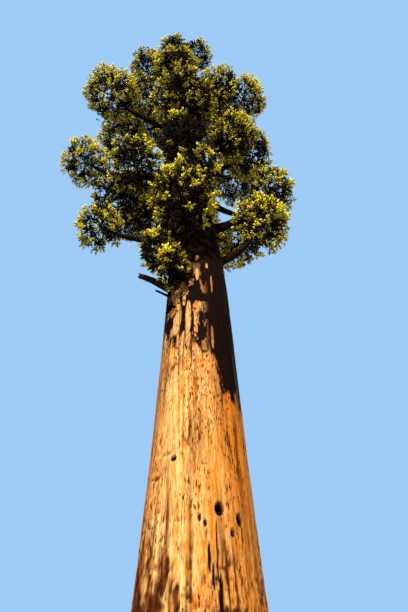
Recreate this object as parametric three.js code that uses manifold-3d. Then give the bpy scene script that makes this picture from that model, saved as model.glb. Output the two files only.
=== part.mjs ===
// Giant sequoia, a whole rooted tree at half its real size, in millimetres with +Z up.
// The origin is the middle of the flat cut at ground level, and the tree's front faces -Y.

import * as THREE from "three";
import { mergeVertices } from "three/addons/utils/BufferGeometryUtils.js";
import Module from "manifold-3d";

const wasm = await Module();
wasm.setup();

const metre = 1000;
const touchingGap = 0.3;
const { lerp, smoothstep } = THREE.MathUtils;
const up = new THREE.Vector3(0, 0, 1);

// Whole tree
const treeHeight = 40 * metre;
const crownTop = 39.95 * metre;

// Trunk: a tall shaft, a long butt swell and a short root flare cut into buttresses
const trunkTip = 38.5 * metre;
const shaftRadius = 1.14 * metre;
const shaftFullness = 1.9;
const tipRoundness = 0.8;
const buttSwell = 0.31 * metre;
const buttSwellHeight = 3.4 * metre;
const rootFlare = 0.6 * metre;
const rootFlareHeight = 0.55 * metre;
const buttresses = 7;
const buttressDepth = 0.3;
const bendStart = 11 * metre;
const bendEnd = 30 * metre;
const topOffset = new THREE.Vector3(-1.4, -1.1, 0).multiplyScalar(metre);
const trunkSides = 28;
const trunkRings = 16;
const trunkRingCrowding = 1.7; // above 1 the rings stand closer towards the foot

// Boughs: leave the trunk flat, then turn up to the mass they carry
const boughSides = 6;
const boughRings = 5;
const boughTipShare = 0.42;
const boughCollar = 0.45;
const boughCollarLength = 0.5 * metre;
const boughOutShare = 0.62;
const boughRiseShare = 0.22;
const boughEntry = 0.9;
const boughCutClearance = 0.02 * metre;

// Foliage masses: a dense core with forking twigs and toothed sprays that stand out of it
const massSpacing = 0.06 * metre;
const limbClearance = 0.05 * metre;
const coreShare = 0.73;
const coreKnobs = [0.84, 1.08];
const slimmestCore = 0.3;
const twigStart = 0.52;
const forkStart = 0.71;
const forkLength = 0.38;
const forkLean = 1.0;
const forkRoll = 1.0;
const boughStem = { radius: 0.055 * metre, tip: 0.035 * metre, share: 0.9 };
const trunkStem = { radius: 0.09 * metre, tip: 0.055 * metre };
const twigsPerMetre = 1.45;
const fewestTwigs = 4;
const twigReach = [0.94, 0.995];
const heightJitter = 0.08;
const turnJitter = 0.3;
const shortestReach = 0.45;
const probeSteps = 12;
const firstProbe = 3;
const sprayWidth = 0.95;
const sprayThickness = 0.1;
const goldenAngle = Math.PI * (3 - Math.sqrt(5));
// A spray: how far along it each station stands, then its width and its thickness, as shares of
// the spray's own length, width and thickness, from its stalk to its two teeth and its tip
const sprayStations = [
  [0, 0.13, 0.7],
  [0.42, 0.11, 0.6],
  [0.62, 1, 1],
  [0.74, 0.52, 0.9],
  [1, 0, 0],
];

// The crown, from its top down: centre in metres, half width and half height of the space,
// and where a bough carries the mass, the height in metres at which it leaves the trunk
// and the bough's root radius in metres. A mass with no bough grows on the trunk.
const masses = [
  { name: "crown_tip", at: [-1.4, -1.0, 38.25], wide: 1.55, tall: 2.46 },
  { name: "top_back", at: [-1.1, 1.0, 36.2], wide: 1.4, tall: 2.03 },
  { name: "top_front", at: [-1.4, -3.1, 35.7], wide: 1.2, tall: 1.75 },
  { name: "top_right", at: [0.14, -2.8, 36.55], wide: 1.14, tall: 1.45 },
  { name: "top_left", at: [-3.45, -2.5, 34.95], wide: 1.15, tall: 1.7 },
  { name: "upper_inner", at: [0.9, -0.5, 33.3], wide: 1.5, tall: 2.03 },
  { name: "upper_back", at: [-1.1, 1.9, 32.9], wide: 1.6, tall: 2.17 },
  { name: "upper_left", at: [-3.9, 1.0, 32.0], wide: 1.6, tall: 2.17, leaves: 28.9, root: 0.17 },
  { name: "upper_front", at: [-1.2, -3.0, 31.0], wide: 1.48, tall: 1.9 },
  { name: "high_left_inner", at: [-3.4, -1.65, 30.05], wide: 1.5, tall: 1.65 },
  { name: "upper_right", at: [1.9, 0.9, 30.8], wide: 1.6, tall: 2.17, leaves: 27.9, root: 0.18 },
  { name: "high_right_front", at: [1.6, -2.4, 28.25], wide: 1.38, tall: 1.8, leaves: 26.2, root: 0.19 },
  { name: "back_high", at: [-1.2, 3.4, 29.0], wide: 1.8, tall: 2.32, leaves: 25.6, root: 0.2 },
  { name: "left_mid", at: [-4.8, 0.4, 28.4], wide: 1.6, tall: 2.1, leaves: 24.7, root: 0.21 },
  { name: "high_left", at: [-5.05, -2.4, 28.1], wide: 1.62, tall: 2.0, leaves: 25.6, root: 0.22 },
  { name: "high_right", at: [3.0, -1.85, 28.35], wide: 1.36, tall: 2.1, leaves: 23.6, root: 0.2 },
  { name: "back_right_high", at: [2.5, 2.9, 27.6], wide: 1.7, tall: 2.3, leaves: 24.0, root: 0.2 },
  { name: "back_left_high", at: [-3.9, 3.0, 25.6], wide: 1.7, tall: 2.32, leaves: 22.4, root: 0.2 },
  {
    name: "high_front",
    at: [-0.5, -2.9, 24.3],
    wide: 1.75,
    tall: 1.6,
    leaves: 15.0,
    root: 0.3,
    elbow: [1.6, -1.7, 20.6],
  },
  { name: "right_mid", at: [2.95, 0.0, 24.75], wide: 1.45, tall: 2.15, leaves: 20.6, root: 0.22 },
  { name: "back", at: [-0.4, 3.9, 24.4], wide: 1.8, tall: 2.32, leaves: 20.8, root: 0.23 },
  { name: "left_far", at: [-6.3, 0.0, 23.8], wide: 1.3, tall: 1.65, leaves: 20.3, root: 0.22 },
  { name: "right_inner", at: [2.0, -1.7, 22.6], wide: 1.2, tall: 1.8 },
  { name: "back_left", at: [-2.45, 3.2, 22.2], wide: 1.5, tall: 2.1, leaves: 18.3, root: 0.22 },
  { name: "back_right", at: [3.9, 2.7, 21.9], wide: 1.5, tall: 2.0, leaves: 18.9, root: 0.2 },
  { name: "right_far", at: [3.8, 0.2, 20.2], wide: 1.15, tall: 1.8, leaves: 15.6, root: 0.24 },
  { name: "low_back", at: [0.3, 2.9, 18.9], wide: 1.6, tall: 1.89, leaves: 15.9, root: 0.2 },
  { name: "low_left", at: [-3.6, 0.5, 19.55], wide: 1.65, tall: 2.0, leaves: 15.7, root: 0.22 },
  { name: "mid_front", at: [-0.5, -2.4, 20.2], wide: 1.25, tall: 1.6 },
  { name: "left_front", at: [-2.55, -2.0, 18.2], wide: 1.3, tall: 1.4 },
  { name: "centre_front", at: [0.05, -2.1, 17.3], wide: 1.05, tall: 1.2 },
  { name: "low_left_far", at: [-4.15, -0.3, 16.15], wide: 0.95, tall: 1.2, leaves: 14.8, root: 0.18 },
  { name: "low_right_inner", at: [1.9, 1.1, 16.6], wide: 0.95, tall: 1.3 },
  { name: "low_right", at: [2.75, -0.2, 16.2], wide: 1.18, tall: 1.6, leaves: 13.2, root: 0.2 },
  { name: "low_front", at: [-0.5, -2.1, 15.0], wide: 1.35, tall: 1.74 },
  { name: "low_left_inner", at: [-1.4, -0.95, 13.35], wide: 0.68, tall: 1.3 },
  { name: "trunk_spray", at: [-0.75, -1.4, 11.7], wide: 0.55, tall: 1.38 },
];

// Dead wood: broken limbs with no foliage, from the trunk to a broken end
const deadLimbs = [
  { name: "dead_stub", leaves: 11.3, end: [-2.14, -0.05, 12.95], root: 0.19, tip: 0.1, lift: 0.25 },
  { name: "dead_snag", leaves: 11.0, end: [-1.42, -0.35, 11.72], root: 0.06, tip: 0.035, lift: 0.04 },
];

const bark = { color: 0xc8743a, roughness: 0.9, metalness: 0 };
const boughBark = { color: 0x8a4f2c, roughness: 0.92, metalness: 0 };
const deadWood = { color: 0x5a4638, roughness: 0.95, metalness: 0 };
const foliage = { color: 0x8c8a1e, roughness: 0.7, metalness: 0 };

// Random numbers from 0 to 1, the same row of them for the same seed
function seeded(seed) {
  let state = seed >>> 0;
  return () => {
    state = (state + 0x6d2b79f5) >>> 0;
    let mixed = Math.imul(state ^ (state >>> 15), 1 | state);
    mixed = (mixed + Math.imul(mixed ^ (mixed >>> 7), 61 | mixed)) ^ mixed;
    return ((mixed ^ (mixed >>> 14)) >>> 0) / 4294967296;
  };
}

const inMillimetres = ([x, y, z]) => new THREE.Vector3(x, y, z).multiplyScalar(metre);

// A closed solid from its points and its triangles, which turn anticlockwise seen from outside
function solidFrom(points, triangles) {
  const vertProperties = new Float32Array(points.flatMap((p) => [p.x, p.y, p.z]));
  const triVerts = new Uint32Array(triangles.flat());
  return new wasm.Manifold(new wasm.Mesh({ numProp: 3, vertProperties, triVerts }));
}

// A solid through a row of rings that turn anticlockwise about the way from the first to the last
function loft(rings) {
  const sides = rings[0].length;
  const points = rings.flat();
  const triangles = [];
  for (let ring = 0; ring + 1 < rings.length; ring++) {
    for (let side = 0; side < sides; side++) {
      const low = ring * sides + side;
      const next = ring * sides + ((side + 1) % sides);
      triangles.push([low, next, next + sides], [low, next + sides, low + sides]);
    }
  }
  const last = points.length - sides;
  for (let side = 1; side + 1 < sides; side++) {
    triangles.push([0, side + 1, side], [last, last + side, last + side + 1]);
  }
  return solidFrom(points, triangles);
}

// The trunk's middle line and its radius at a height
function trunkAxis(z) {
  return topOffset.clone().multiplyScalar(smoothstep(z, bendStart, bendEnd)).setZ(z);
}

function trunkRadius(z, angle) {
  const shaft = shaftRadius * (1 - (z / treeHeight) ** shaftFullness) ** tipRoundness;
  const butt = buttSwell * Math.exp(-z / buttSwellHeight);
  const flare = rootFlare * Math.exp(-z / rootFlareHeight);
  const buttress = 1 + buttressDepth * Math.cos(buttresses * angle);
  return shaft + butt + flare * buttress;
}

// The trunk from its flat cut to its tip, or a copy grown by a little to cut others clear of it
function trunkSolid(grown = 0) {
  const rings = [];
  for (let ring = 0; ring <= trunkRings; ring++) {
    const z = trunkTip * (ring / trunkRings) ** trunkRingCrowding;
    rings.push(
      Array.from({ length: trunkSides }, (_, side) => {
        const angle = (side / trunkSides) * 2 * Math.PI;
        const radius = trunkRadius(z, angle) + grown;
        const outward = new THREE.Vector3(Math.cos(angle), Math.sin(angle), 0);
        return trunkAxis(z).addScaledVector(outward, radius);
      }),
    );
  }
  return loft(rings);
}

// A limb's points and radii along its middle line, which starts inside the trunk
function limbPath(curve, root, tip) {
  const length = curve.getLength();
  return Array.from({ length: boughRings + 1 }, (_, ring) => {
    const share = ring / boughRings;
    const collar = root * boughCollar * Math.exp((-share * length) / boughCollarLength);
    return { at: curve.getPoint(share), radius: lerp(root, tip, share) + collar };
  });
}

// A limb's solid, a ring of corners square to its middle line at each point of its path
function limbSolid(curve, path, sides) {
  const frames = curve.computeFrenetFrames(path.length - 1, false);
  const rings = path.map(({ at, radius }, ring) =>
    Array.from({ length: sides }, (_, side) => {
      const angle = (side / sides) * 2 * Math.PI;
      return at
        .clone()
        .addScaledVector(frames.normals[ring], radius * Math.cos(angle))
        .addScaledVector(frames.binormals[ring], radius * Math.sin(angle));
    }),
  );
  return loft(rings);
}

// The line a bough follows: out of the trunk, flat at first, then up to its mass from below
function boughCurve(mass) {
  const start = trunkAxis(mass.leaves * metre);
  const centre = inMillimetres(mass.at);
  const elbow = start.clone().lerp(centre, boughOutShare);
  elbow.z = lerp(start.z, centre.z, boughRiseShare);
  if (mass.elbow) elbow.copy(inMillimetres(mass.elbow));
  const arrival = centre.clone().sub(elbow).normalize();
  const end = centre.clone().addScaledVector(arrival, -boughEntry * ellipsoidReach(mass, arrival));
  return new THREE.QuadraticBezierCurve3(start, elbow, end);
}

// The line a dead limb follows to its broken end
function deadCurve(limb) {
  const start = trunkAxis(limb.leaves * metre);
  const end = inMillimetres(limb.end);
  const elbow = start.clone().lerp(end, boughOutShare);
  elbow.z += limb.lift * metre;
  return new THREE.QuadraticBezierCurve3(start, elbow, end);
}

// How far a mass's own ellipsoid runs from its centre along a direction
function ellipsoidReach(mass, direction) {
  const across = Math.hypot(direction.x, direction.y) / mass.wide;
  return metre / Math.hypot(across, direction.z / mass.tall);
}

// Flat walls halfway between a mass and each of its neighbours, and under the crown's top
function wallsOf(mass) {
  const centre = inMillimetres(mass.at);
  const walls = masses
    .filter((other) => other !== mass)
    .map((other) => {
      const away = inMillimetres(other.at).sub(centre);
      const normal = away.clone().normalize();
      const own = ellipsoidReach(mass, normal);
      const share = own / (own + ellipsoidReach(other, normal));
      return { normal, distance: away.length() * share - massSpacing / 2 };
    });
  walls.push({ normal: up, distance: crownTop - centre.z });
  return walls;
}

// The distance from a point to the surface of the nearest limb, less than nothing inside it
function limbDistance(point, limbs) {
  const section = new THREE.Line3();
  const nearest = new THREE.Vector3();
  let distance = point.distanceTo(trunkAxis(point.z)) - trunkRadius(point.z, 0);
  for (const path of limbs) {
    for (let ring = 0; ring + 1 < path.length; ring++) {
      section.set(path[ring].at, path[ring + 1].at);
      const share = section.closestPointToPointParameter(point, true);
      const radius = lerp(path[ring].radius, path[ring + 1].radius, share);
      distance = Math.min(distance, section.at(share, nearest).distanceTo(point) - radius);
    }
  }
  return distance;
}

// How far a mass may grow from its centre along a direction: to its ellipsoid, to a wall
// or to where a limb comes near
function reachOf(mass, space, direction) {
  let reach = ellipsoidReach(mass, direction);
  for (const { normal, distance } of space.walls) {
    const towards = normal.dot(direction);
    if (towards > 0) reach = Math.min(reach, distance / towards);
  }
  for (let step = firstProbe; step <= probeSteps; step++) {
    const probe = space.centre.clone().addScaledVector(direction, (reach * step) / probeSteps);
    if (limbDistance(probe, space.limbs) < limbClearance) return (reach * (step - 1)) / probeSteps;
  }
  return reach;
}

// Whether a point keeps between a mass's walls and clear of every limb
function isFree(space, point) {
  const offset = point.clone().sub(space.centre);
  const walled = space.walls.some(({ normal, distance }) => normal.dot(offset) > distance);
  return !walled && limbDistance(point, space.limbs) > limbClearance;
}

function isInEllipsoid(mass, space, point) {
  const offset = point.clone().sub(space.centre);
  return offset.length() < ellipsoidReach(mass, offset.clone().normalize());
}

// A three-sided solid along a straight line: each station says how far along it stands and how
// far its ridge and its two edges stand out, and a last station with no width closes in a point
function threeSided(root, direction, side, stations) {
  const normal = new THREE.Vector3().crossVectors(side, direction).normalize();
  const points = [];
  for (const { along, ridge, edge } of stations) {
    const middle = root.clone().addScaledVector(direction, along);
    const corners = edge ? [[0, ridge], [edge, -ridge], [-edge, -ridge]] : [[0, 0]];
    for (const [across, raised] of corners) {
      points.push(middle.clone().addScaledVector(side, across).addScaledVector(normal, raised));
    }
  }
  const triangles = [[0, 2, 1]];
  const last = 3 * (stations.length - 1);
  const pointed = points.length === last + 1;
  for (let low = 0; low < last; low++) {
    const next = low % 3 === 2 ? low - 2 : low + 1;
    if (pointed && low + 3 >= last) triangles.push([low, next, last]);
    else triangles.push([low, next, next + 3], [low, next + 3, low + 3]);
  }
  if (!pointed) triangles.push([last, last + 1, last + 2]);
  return solidFrom(points, triangles);
}

// A direction square to another, turned about that one by a roll
function sideOf(direction, roll) {
  const side = new THREE.Vector3().crossVectors(direction, up);
  if (side.lengthSq() < 1e-4) side.set(1, 0, 0);
  return side.normalize().applyAxisAngle(direction, roll);
}

// A straight stem that tapers from one point to another
function stemOf(from, to, { radius, tip }) {
  const direction = to.clone().sub(from);
  const along = direction.length();
  const stations = [
    { along: 0, ridge: radius / 2, edge: radius },
    { along, ridge: tip / 2, edge: tip },
  ];
  direction.normalize();
  return threeSided(from, direction, sideOf(direction, 0), stations);
}

// A twig that widens into a toothed spray of needles
function spraySolid(root, direction, length, roll) {
  const stations = sprayStations.map(([along, width, thickness]) => ({
    along: along * length,
    edge: (width * length * sprayWidth) / 2,
    ridge: (thickness * length * sprayThickness) / 2,
  }));
  return threeSided(root, direction, sideOf(direction, roll), stations);
}

// The two edges of a spray at each of its stations
function sprayCorners(root, direction, length, roll) {
  const side = sideOf(direction, roll);
  return sprayStations.flatMap(([along, width]) =>
    [-1, 1].map((hand) =>
      root
        .clone()
        .addScaledVector(direction, along * length)
        .addScaledVector(side, (hand * width * length * sprayWidth) / 2),
    ),
  );
}

// The dense middle of a mass: a knobbly ball drawn in where its space is narrow
function coreSolid(mass, space, random) {
  const ball = new THREE.DodecahedronGeometry(1, 0);
  ball.deleteAttribute("normal");
  ball.deleteAttribute("uv");
  const merged = mergeVertices(ball, 1e-4);
  const points = [];
  for (let vertex = 0; vertex < merged.attributes.position.count; vertex++) {
    const direction = new THREE.Vector3().fromBufferAttribute(merged.attributes.position, vertex);
    const knob = lerp(...coreKnobs, random());
    const least = slimmestCore * ellipsoidReach(mass, direction);
    const reach = Math.max(reachOf(mass, space, direction), least);
    points.push(space.centre.clone().addScaledVector(direction, coreShare * knob * reach));
  }
  const triangles = [];
  for (let index = 0; index < merged.index.count; index += 3) {
    triangles.push([0, 1, 2].map((corner) => merged.index.getX(index + corner)));
  }
  return solidFrom(points, triangles);
}

// Twigs that leave the middle of a mass on a spiral of directions, the level one straight away
// from the trunk, each run out to the edge of the space as a spray, and each but the topmost
// with a forked twig where there is room beside it
function growSprays(mass, space, random) {
  const grown = [];
  const count = Math.max(fewestTwigs, Math.round(twigsPerMetre * (mass.wide + mass.tall)));
  const level = Math.floor(count / 2);
  const away = space.centre.clone().sub(trunkAxis(space.centre.z));
  const awayAngle = Math.atan2(away.y, away.x);
  for (let twig = 0; twig < count; twig++) {
    const shift = lerp(-heightJitter, heightJitter, random());
    const height = 1 - (2 * (twig + 0.5)) / count + (twig === 0 ? Math.abs(shift) : shift);
    const sway = lerp(-turnJitter, turnJitter, random());
    const turn = awayAngle + (twig - level) * goldenAngle + (twig === level ? 0 : sway);
    const ring = Math.sqrt(Math.max(0, 1 - height * height));
    const direction = new THREE.Vector3(ring * Math.cos(turn), ring * Math.sin(turn), height);
    direction.normalize();
    const roll = random() * Math.PI;
    const lean = random() * 2 * Math.PI;
    const reach = reachOf(mass, space, direction) * lerp(...twigReach, random());
    if (reach < shortestReach * ellipsoidReach(mass, direction)) continue;
    const root = space.centre.clone().addScaledVector(direction, twigStart * reach);
    const length = (1 - twigStart) * reach;
    const ahead = sprayCorners(root, direction, length, roll);
    if (!ahead.every((corner) => isFree(space, corner))) continue;
    grown.push(spraySolid(root, direction, length, roll));
    if (twig === 0) continue;
    const aside = direction.clone().addScaledVector(sideOf(direction, lean), forkLean).normalize();
    const fork = space.centre.clone().addScaledVector(direction, forkStart * reach);
    const branch = sprayCorners(fork, aside, forkLength * reach, roll + forkRoll);
    if (!branch.every((corner) => isFree(space, corner))) continue;
    if (!branch.every((corner) => isInEllipsoid(mass, space, corner))) continue;
    const forked = spraySolid(fork, aside, forkLength * reach, roll + forkRoll);
    const crossed = grown.slice(0, -1).some((other) => other.intersect(forked).volume() > 0);
    if (!crossed) grown.push(forked);
  }
  return grown;
}

// The stem runs on from the bough's tip, or out of the trunk, to the middle of the mass
function stemSolid(mass, space) {
  if (space.bough) {
    const end = space.bough.getPoint(1);
    const ahead = space.bough.getTangent(1);
    const from = end.clone().addScaledVector(ahead, touchingGap);
    return stemOf(from, from.clone().lerp(space.centre, boughStem.share), boughStem);
  }
  const drop = (mass.tall * metre) / 2;
  const from = trunkAxis(Math.min(space.centre.z - drop, trunkTip - drop));
  return stemOf(from, space.centre, trunkStem);
}

// The largest closed body of a solid: loose scraps are dropped and sealed hollows filled
function largestBody(solid) {
  return solid.decompose().reduce((most, body) => (body.volume() > most.volume() ? body : most));
}

// A whole mass as one solid, cut clear of the trunk and of the boughs that pass it
function massSolid(mass, seed, limbs, bough, cutters) {
  const random = seeded(seed);
  const space = { centre: inMillimetres(mass.at), walls: wallsOf(mass), limbs, bough };
  const pieces = [stemSolid(mass, space), coreSolid(mass, space, random)];
  pieces.push(...growSprays(mass, space, random));
  let solid = pieces.reduce((joined, piece) => joined.add(piece));
  for (const cutter of cutters) solid = solid.subtract(cutter);
  return largestBody(solid);
}

// A named mesh whose own origin is at the given place
function meshOf(name, solid, finish, place) {
  const { numProp, vertProperties, triVerts } = solid.getMesh();
  const positions = [];
  for (let start = 0; start < vertProperties.length; start += numProp) {
    positions.push(
      vertProperties[start] - place.x,
      vertProperties[start + 1] - place.y,
      vertProperties[start + 2] - place.z,
    );
  }
  const geometry = new THREE.BufferGeometry();
  geometry.setAttribute("position", new THREE.Float32BufferAttribute(positions, 3));
  geometry.setIndex(new THREE.BufferAttribute(new Uint32Array(triVerts), 1));
  const mesh = new THREE.Mesh(geometry, new THREE.MeshStandardMaterial(finish));
  mesh.name = name;
  mesh.position.copy(place);
  return mesh;
}

const tree = new THREE.Group();
const wood = new THREE.Group();
const crown = new THREE.Group();
tree.add(wood, crown);

wood.add(meshOf("trunk", trunkSolid(), bark, new THREE.Vector3()));
const trunkCutter = trunkSolid(touchingGap);

for (const limb of deadLimbs) {
  const curve = deadCurve(limb);
  const path = limbPath(curve, limb.root * metre, limb.tip * metre);
  const solid = largestBody(limbSolid(curve, path, boughSides).subtract(trunkCutter));
  wood.add(meshOf(limb.name, solid, deadWood, curve.getPoint(0)));
}

const boughs = new Map();
for (const mass of masses.filter((each) => each.leaves)) {
  const curve = boughCurve(mass);
  const root = mass.root * metre;
  const path = limbPath(curve, root, root * boughTipShare);
  const solid = largestBody(limbSolid(curve, path, boughSides).subtract(trunkCutter));
  const clearPath = path.map(({ at, radius }) => ({ at, radius: radius + boughCutClearance }));
  boughs.set(mass, { curve, path, cutter: limbSolid(curve, clearPath, boughSides) });
  wood.add(meshOf(`bough_${mass.name}`, solid, boughBark, curve.getPoint(0)));
}

const limbPaths = [...boughs.values()].map((bough) => bough.path);
masses.forEach((mass, index) => {
  const own = boughs.get(mass);
  const passing = [...boughs.values()].filter((bough) => bough !== own).map((bough) => bough.cutter);
  const solid = massSolid(mass, index + 1, limbPaths, own?.curve, [trunkCutter, ...passing]);
  crown.add(meshOf(`foliage_${mass.name}`, solid, foliage, inMillimetres(mass.at)));
});

export default tree;
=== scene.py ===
# A giant sequoia dressed over its solids: relief bark on the trunk and boughs, broken dead limbs,
# and a crown of twigs and sprays that grow by one seeded rule. Metres, +Z up, front towards -Y.

import math
from dataclasses import dataclass
from functools import lru_cache

import bpy
import numpy as np
from mathutils import Matrix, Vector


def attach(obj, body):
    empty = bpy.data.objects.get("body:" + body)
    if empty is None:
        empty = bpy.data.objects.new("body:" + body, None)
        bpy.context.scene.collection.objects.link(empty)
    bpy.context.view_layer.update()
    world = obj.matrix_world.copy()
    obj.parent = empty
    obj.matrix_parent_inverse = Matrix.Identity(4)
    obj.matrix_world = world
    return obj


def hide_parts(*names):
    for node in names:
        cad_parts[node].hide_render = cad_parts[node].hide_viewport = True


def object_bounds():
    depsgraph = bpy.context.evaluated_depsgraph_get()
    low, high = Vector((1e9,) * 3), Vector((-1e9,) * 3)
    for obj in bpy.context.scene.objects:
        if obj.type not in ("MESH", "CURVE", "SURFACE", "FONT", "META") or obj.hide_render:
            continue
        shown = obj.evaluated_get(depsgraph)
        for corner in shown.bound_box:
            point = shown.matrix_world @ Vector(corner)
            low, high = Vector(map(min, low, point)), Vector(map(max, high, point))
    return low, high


bl_info = {
    "name": "Giant Sequoia",
    "version": (1, 0, 0),
    "blender": (4, 5, 0),
    "location": "View3D > Sidebar > Sequoia",
    "description": "Bark, boughs, dead limbs and foliage of a giant sequoia",
    "category": "Object",
}

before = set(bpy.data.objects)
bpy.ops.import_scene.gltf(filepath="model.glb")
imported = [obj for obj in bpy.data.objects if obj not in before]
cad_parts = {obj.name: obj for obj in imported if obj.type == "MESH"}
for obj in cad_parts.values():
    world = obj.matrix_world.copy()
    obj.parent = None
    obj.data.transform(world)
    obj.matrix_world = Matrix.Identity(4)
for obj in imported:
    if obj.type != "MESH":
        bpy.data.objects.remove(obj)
CAD_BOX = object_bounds()

BOX_MIDDLE = (np.array(CAD_BOX[0]) + np.array(CAD_BOX[1])) / 2
BOX_HALF = (np.array(CAD_BOX[1]) - np.array(CAD_BOX[0])) / 2
UP = np.array([0.0, 0.0, 1.0])
TRIANGLE, QUAD = 3, 4

# Trunk
TREE_HEIGHT = 40.0
CROWN_TOP = 39.95
TRUNK_TIP = 38.5
SHAFT_RADIUS = 1.14
SHAFT_FULLNESS = 1.9
TIP_ROUNDNESS = 0.8
BUTT_SWELL = 0.31
BUTT_SWELL_HEIGHT = 3.4
ROOT_FLARE = 0.6
ROOT_FLARE_HEIGHT = 0.55
BUTTRESSES = 7
BUTTRESS_DEPTH = 0.3
BEND_START = 11.0
BEND_END = 30.0
TOP_OFFSET = (-1.4, -1.1)
FOOT_TOP = 7.0
LOWER_TRUNK_TOP = 14.0
TRUNK_OVERLAP = 0.06
TUCK_DEPTH = 0.008

# Boughs
BOUGH_RINGS = 5
BOUGH_TIP_SHARE = 0.42
BOUGH_COLLAR = 0.45
BOUGH_COLLAR_LENGTH = 0.5
BOUGH_OUT_SHARE = 0.62
BOUGH_RISE_SHARE = 0.22
BOUGH_ENTRY = 0.9
LENGTH_POINTS = 201

# Masses and the rule their twigs follow
MASS_SPACING = 0.06
LIMB_CLEARANCE = 0.05
CORE_CORNERS = 20
FORK_START = 0.71
FORK_LENGTH = 0.38
FORK_LEAN = 1.0
TWIGS_PER_METRE = 1.45
FEWEST_TWIGS = 4
TWIG_REACH = (0.94, 0.995)
HEIGHT_JITTER = 0.08
TURN_JITTER = 0.3
SHORTEST_REACH = 0.45
PROBE_STEPS = 12
FIRST_PROBE = 3
GOLDEN_ANGLE = math.pi * (3 - math.sqrt(5))


@dataclass(frozen=True)
class Mass:
    """A mass of foliage: its middle, half width and half height, the bough that carries it if one
    does (the height where it leaves the trunk, its radius, its elbow), how crowded its sprays are
    and how much lighter they are painted than the rest, as painted light and shade on masses in
    sun and in shade.
    """

    name: str
    at: tuple
    wide: float
    tall: float
    leaves: float = 0.0
    root: float = 0.0
    elbow: tuple = None
    crowding: float = 1.0
    lighter: float = 0.0


@dataclass(frozen=True)
class DeadLimb:
    """A broken limb with no foliage, from the trunk to its broken end."""

    name: str
    leaves: float
    end: tuple
    root: float
    tip: float
    lift: float


# The crown, from its top down
MASSES = (
    Mass("crown_tip", (-1.4, -1.0, 38.25), 1.55, 2.46, lighter=-0.11),
    Mass("top_back", (-1.1, 1.0, 36.2), 1.4, 2.03),
    Mass("top_front", (-1.4, -3.1, 35.7), 1.2, 1.75, lighter=-0.08),
    Mass("top_right", (0.14, -2.8, 36.55), 1.14, 1.45, lighter=-0.06),
    Mass("top_left", (-3.45, -2.5, 34.95), 1.15, 1.7, lighter=-0.04),
    Mass("upper_inner", (0.9, -0.5, 33.3), 1.5, 2.03),
    Mass("upper_back", (-1.1, 1.9, 32.9), 1.6, 2.17),
    Mass("upper_left", (-3.9, 1.0, 32.0), 1.6, 2.17, 28.9, 0.17),
    Mass("upper_front", (-1.2, -3.0, 31.0), 1.48, 1.9, lighter=-0.05),
    Mass("high_left_inner", (-3.4, -1.65, 30.05), 1.5, 1.65, lighter=0.02),
    Mass("upper_right", (1.9, 0.9, 30.8), 1.6, 2.17, 27.9, 0.18),
    Mass("high_right_front", (1.6, -2.4, 28.25), 1.38, 1.8, 26.2, 0.19, lighter=0.05),
    Mass("back_high", (-1.2, 3.4, 29.0), 1.8, 2.32, 25.6, 0.2),
    Mass("left_mid", (-4.8, 0.4, 28.4), 1.6, 2.1, 24.7, 0.21, lighter=0.06),
    Mass("high_left", (-5.05, -2.4, 28.1), 1.62, 2.0, 25.6, 0.22, crowding=1.15, lighter=0.1),
    Mass("high_right", (3.0, -1.85, 28.35), 1.36, 2.1, 23.6, 0.2, lighter=0.03),
    Mass("back_right_high", (2.5, 2.9, 27.6), 1.7, 2.3, 24.0, 0.2),
    Mass("back_left_high", (-3.9, 3.0, 25.6), 1.7, 2.32, 22.4, 0.2, lighter=-0.05),
    Mass("high_front", (-0.5, -2.9, 24.3), 1.75, 1.6, 15.0, 0.3, (1.6, -1.7, 20.6), lighter=-0.07),
    Mass("right_mid", (2.95, 0.0, 24.75), 1.45, 2.15, 20.6, 0.22),
    Mass("back", (-0.4, 3.9, 24.4), 1.8, 2.32, 20.8, 0.23),
    Mass("left_far", (-6.3, 0.0, 23.8), 1.3, 1.65, 20.3, 0.22, lighter=0.05),
    Mass("right_inner", (2.0, -1.7, 22.6), 1.2, 1.8, lighter=-0.03),
    Mass("back_left", (-2.45, 3.2, 22.2), 1.5, 2.1, 18.3, 0.22),
    Mass("back_right", (3.9, 2.7, 21.9), 1.5, 2.0, 18.9, 0.2),
    Mass("right_far", (3.8, 0.2, 20.2), 1.15, 1.8, 15.6, 0.24),
    Mass("low_back", (0.3, 2.9, 18.9), 1.6, 1.89, 15.9, 0.2),
    Mass("low_left", (-3.6, 0.5, 19.55), 1.65, 2.0, 15.7, 0.22, lighter=-0.17),
    Mass("mid_front", (-0.5, -2.4, 20.2), 1.25, 1.6, crowding=0.75, lighter=-0.15),
    Mass("left_front", (-2.55, -2.0, 18.2), 1.3, 1.4, crowding=0.8),
    Mass("centre_front", (0.05, -2.1, 17.3), 1.05, 1.2, crowding=0.62, lighter=-0.06),
    Mass("low_left_far", (-4.15, -0.3, 16.15), 0.95, 1.2, 14.8, 0.18),
    Mass("low_right_inner", (1.9, 1.1, 16.6), 0.95, 1.3),
    Mass("low_right", (2.75, -0.2, 16.2), 1.18, 1.6, 13.2, 0.2),
    Mass("low_front", (-0.5, -2.1, 15.0), 1.35, 1.74, crowding=0.62, lighter=0.03),
    Mass("low_left_inner", (-1.4, -0.95, 13.35), 0.68, 1.3, crowding=2.0, lighter=-0.02),
    Mass("trunk_spray", (-0.75, -1.4, 11.7), 0.55, 1.38, crowding=2.0, lighter=0.03),
)

DEAD_LIMBS = (
    DeadLimb("dead_stub", 11.3, (-2.14, -0.05, 12.95), 0.19, 0.1, 0.25),
    DeadLimb("dead_snag", 11.0, (-1.42, -0.35, 11.72), 0.06, 0.035, 0.04),
)


# Random numbers and lattice noise


WORD = 0xFFFFFFFF
SEED_STEP = 0x6D2B79F5


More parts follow.
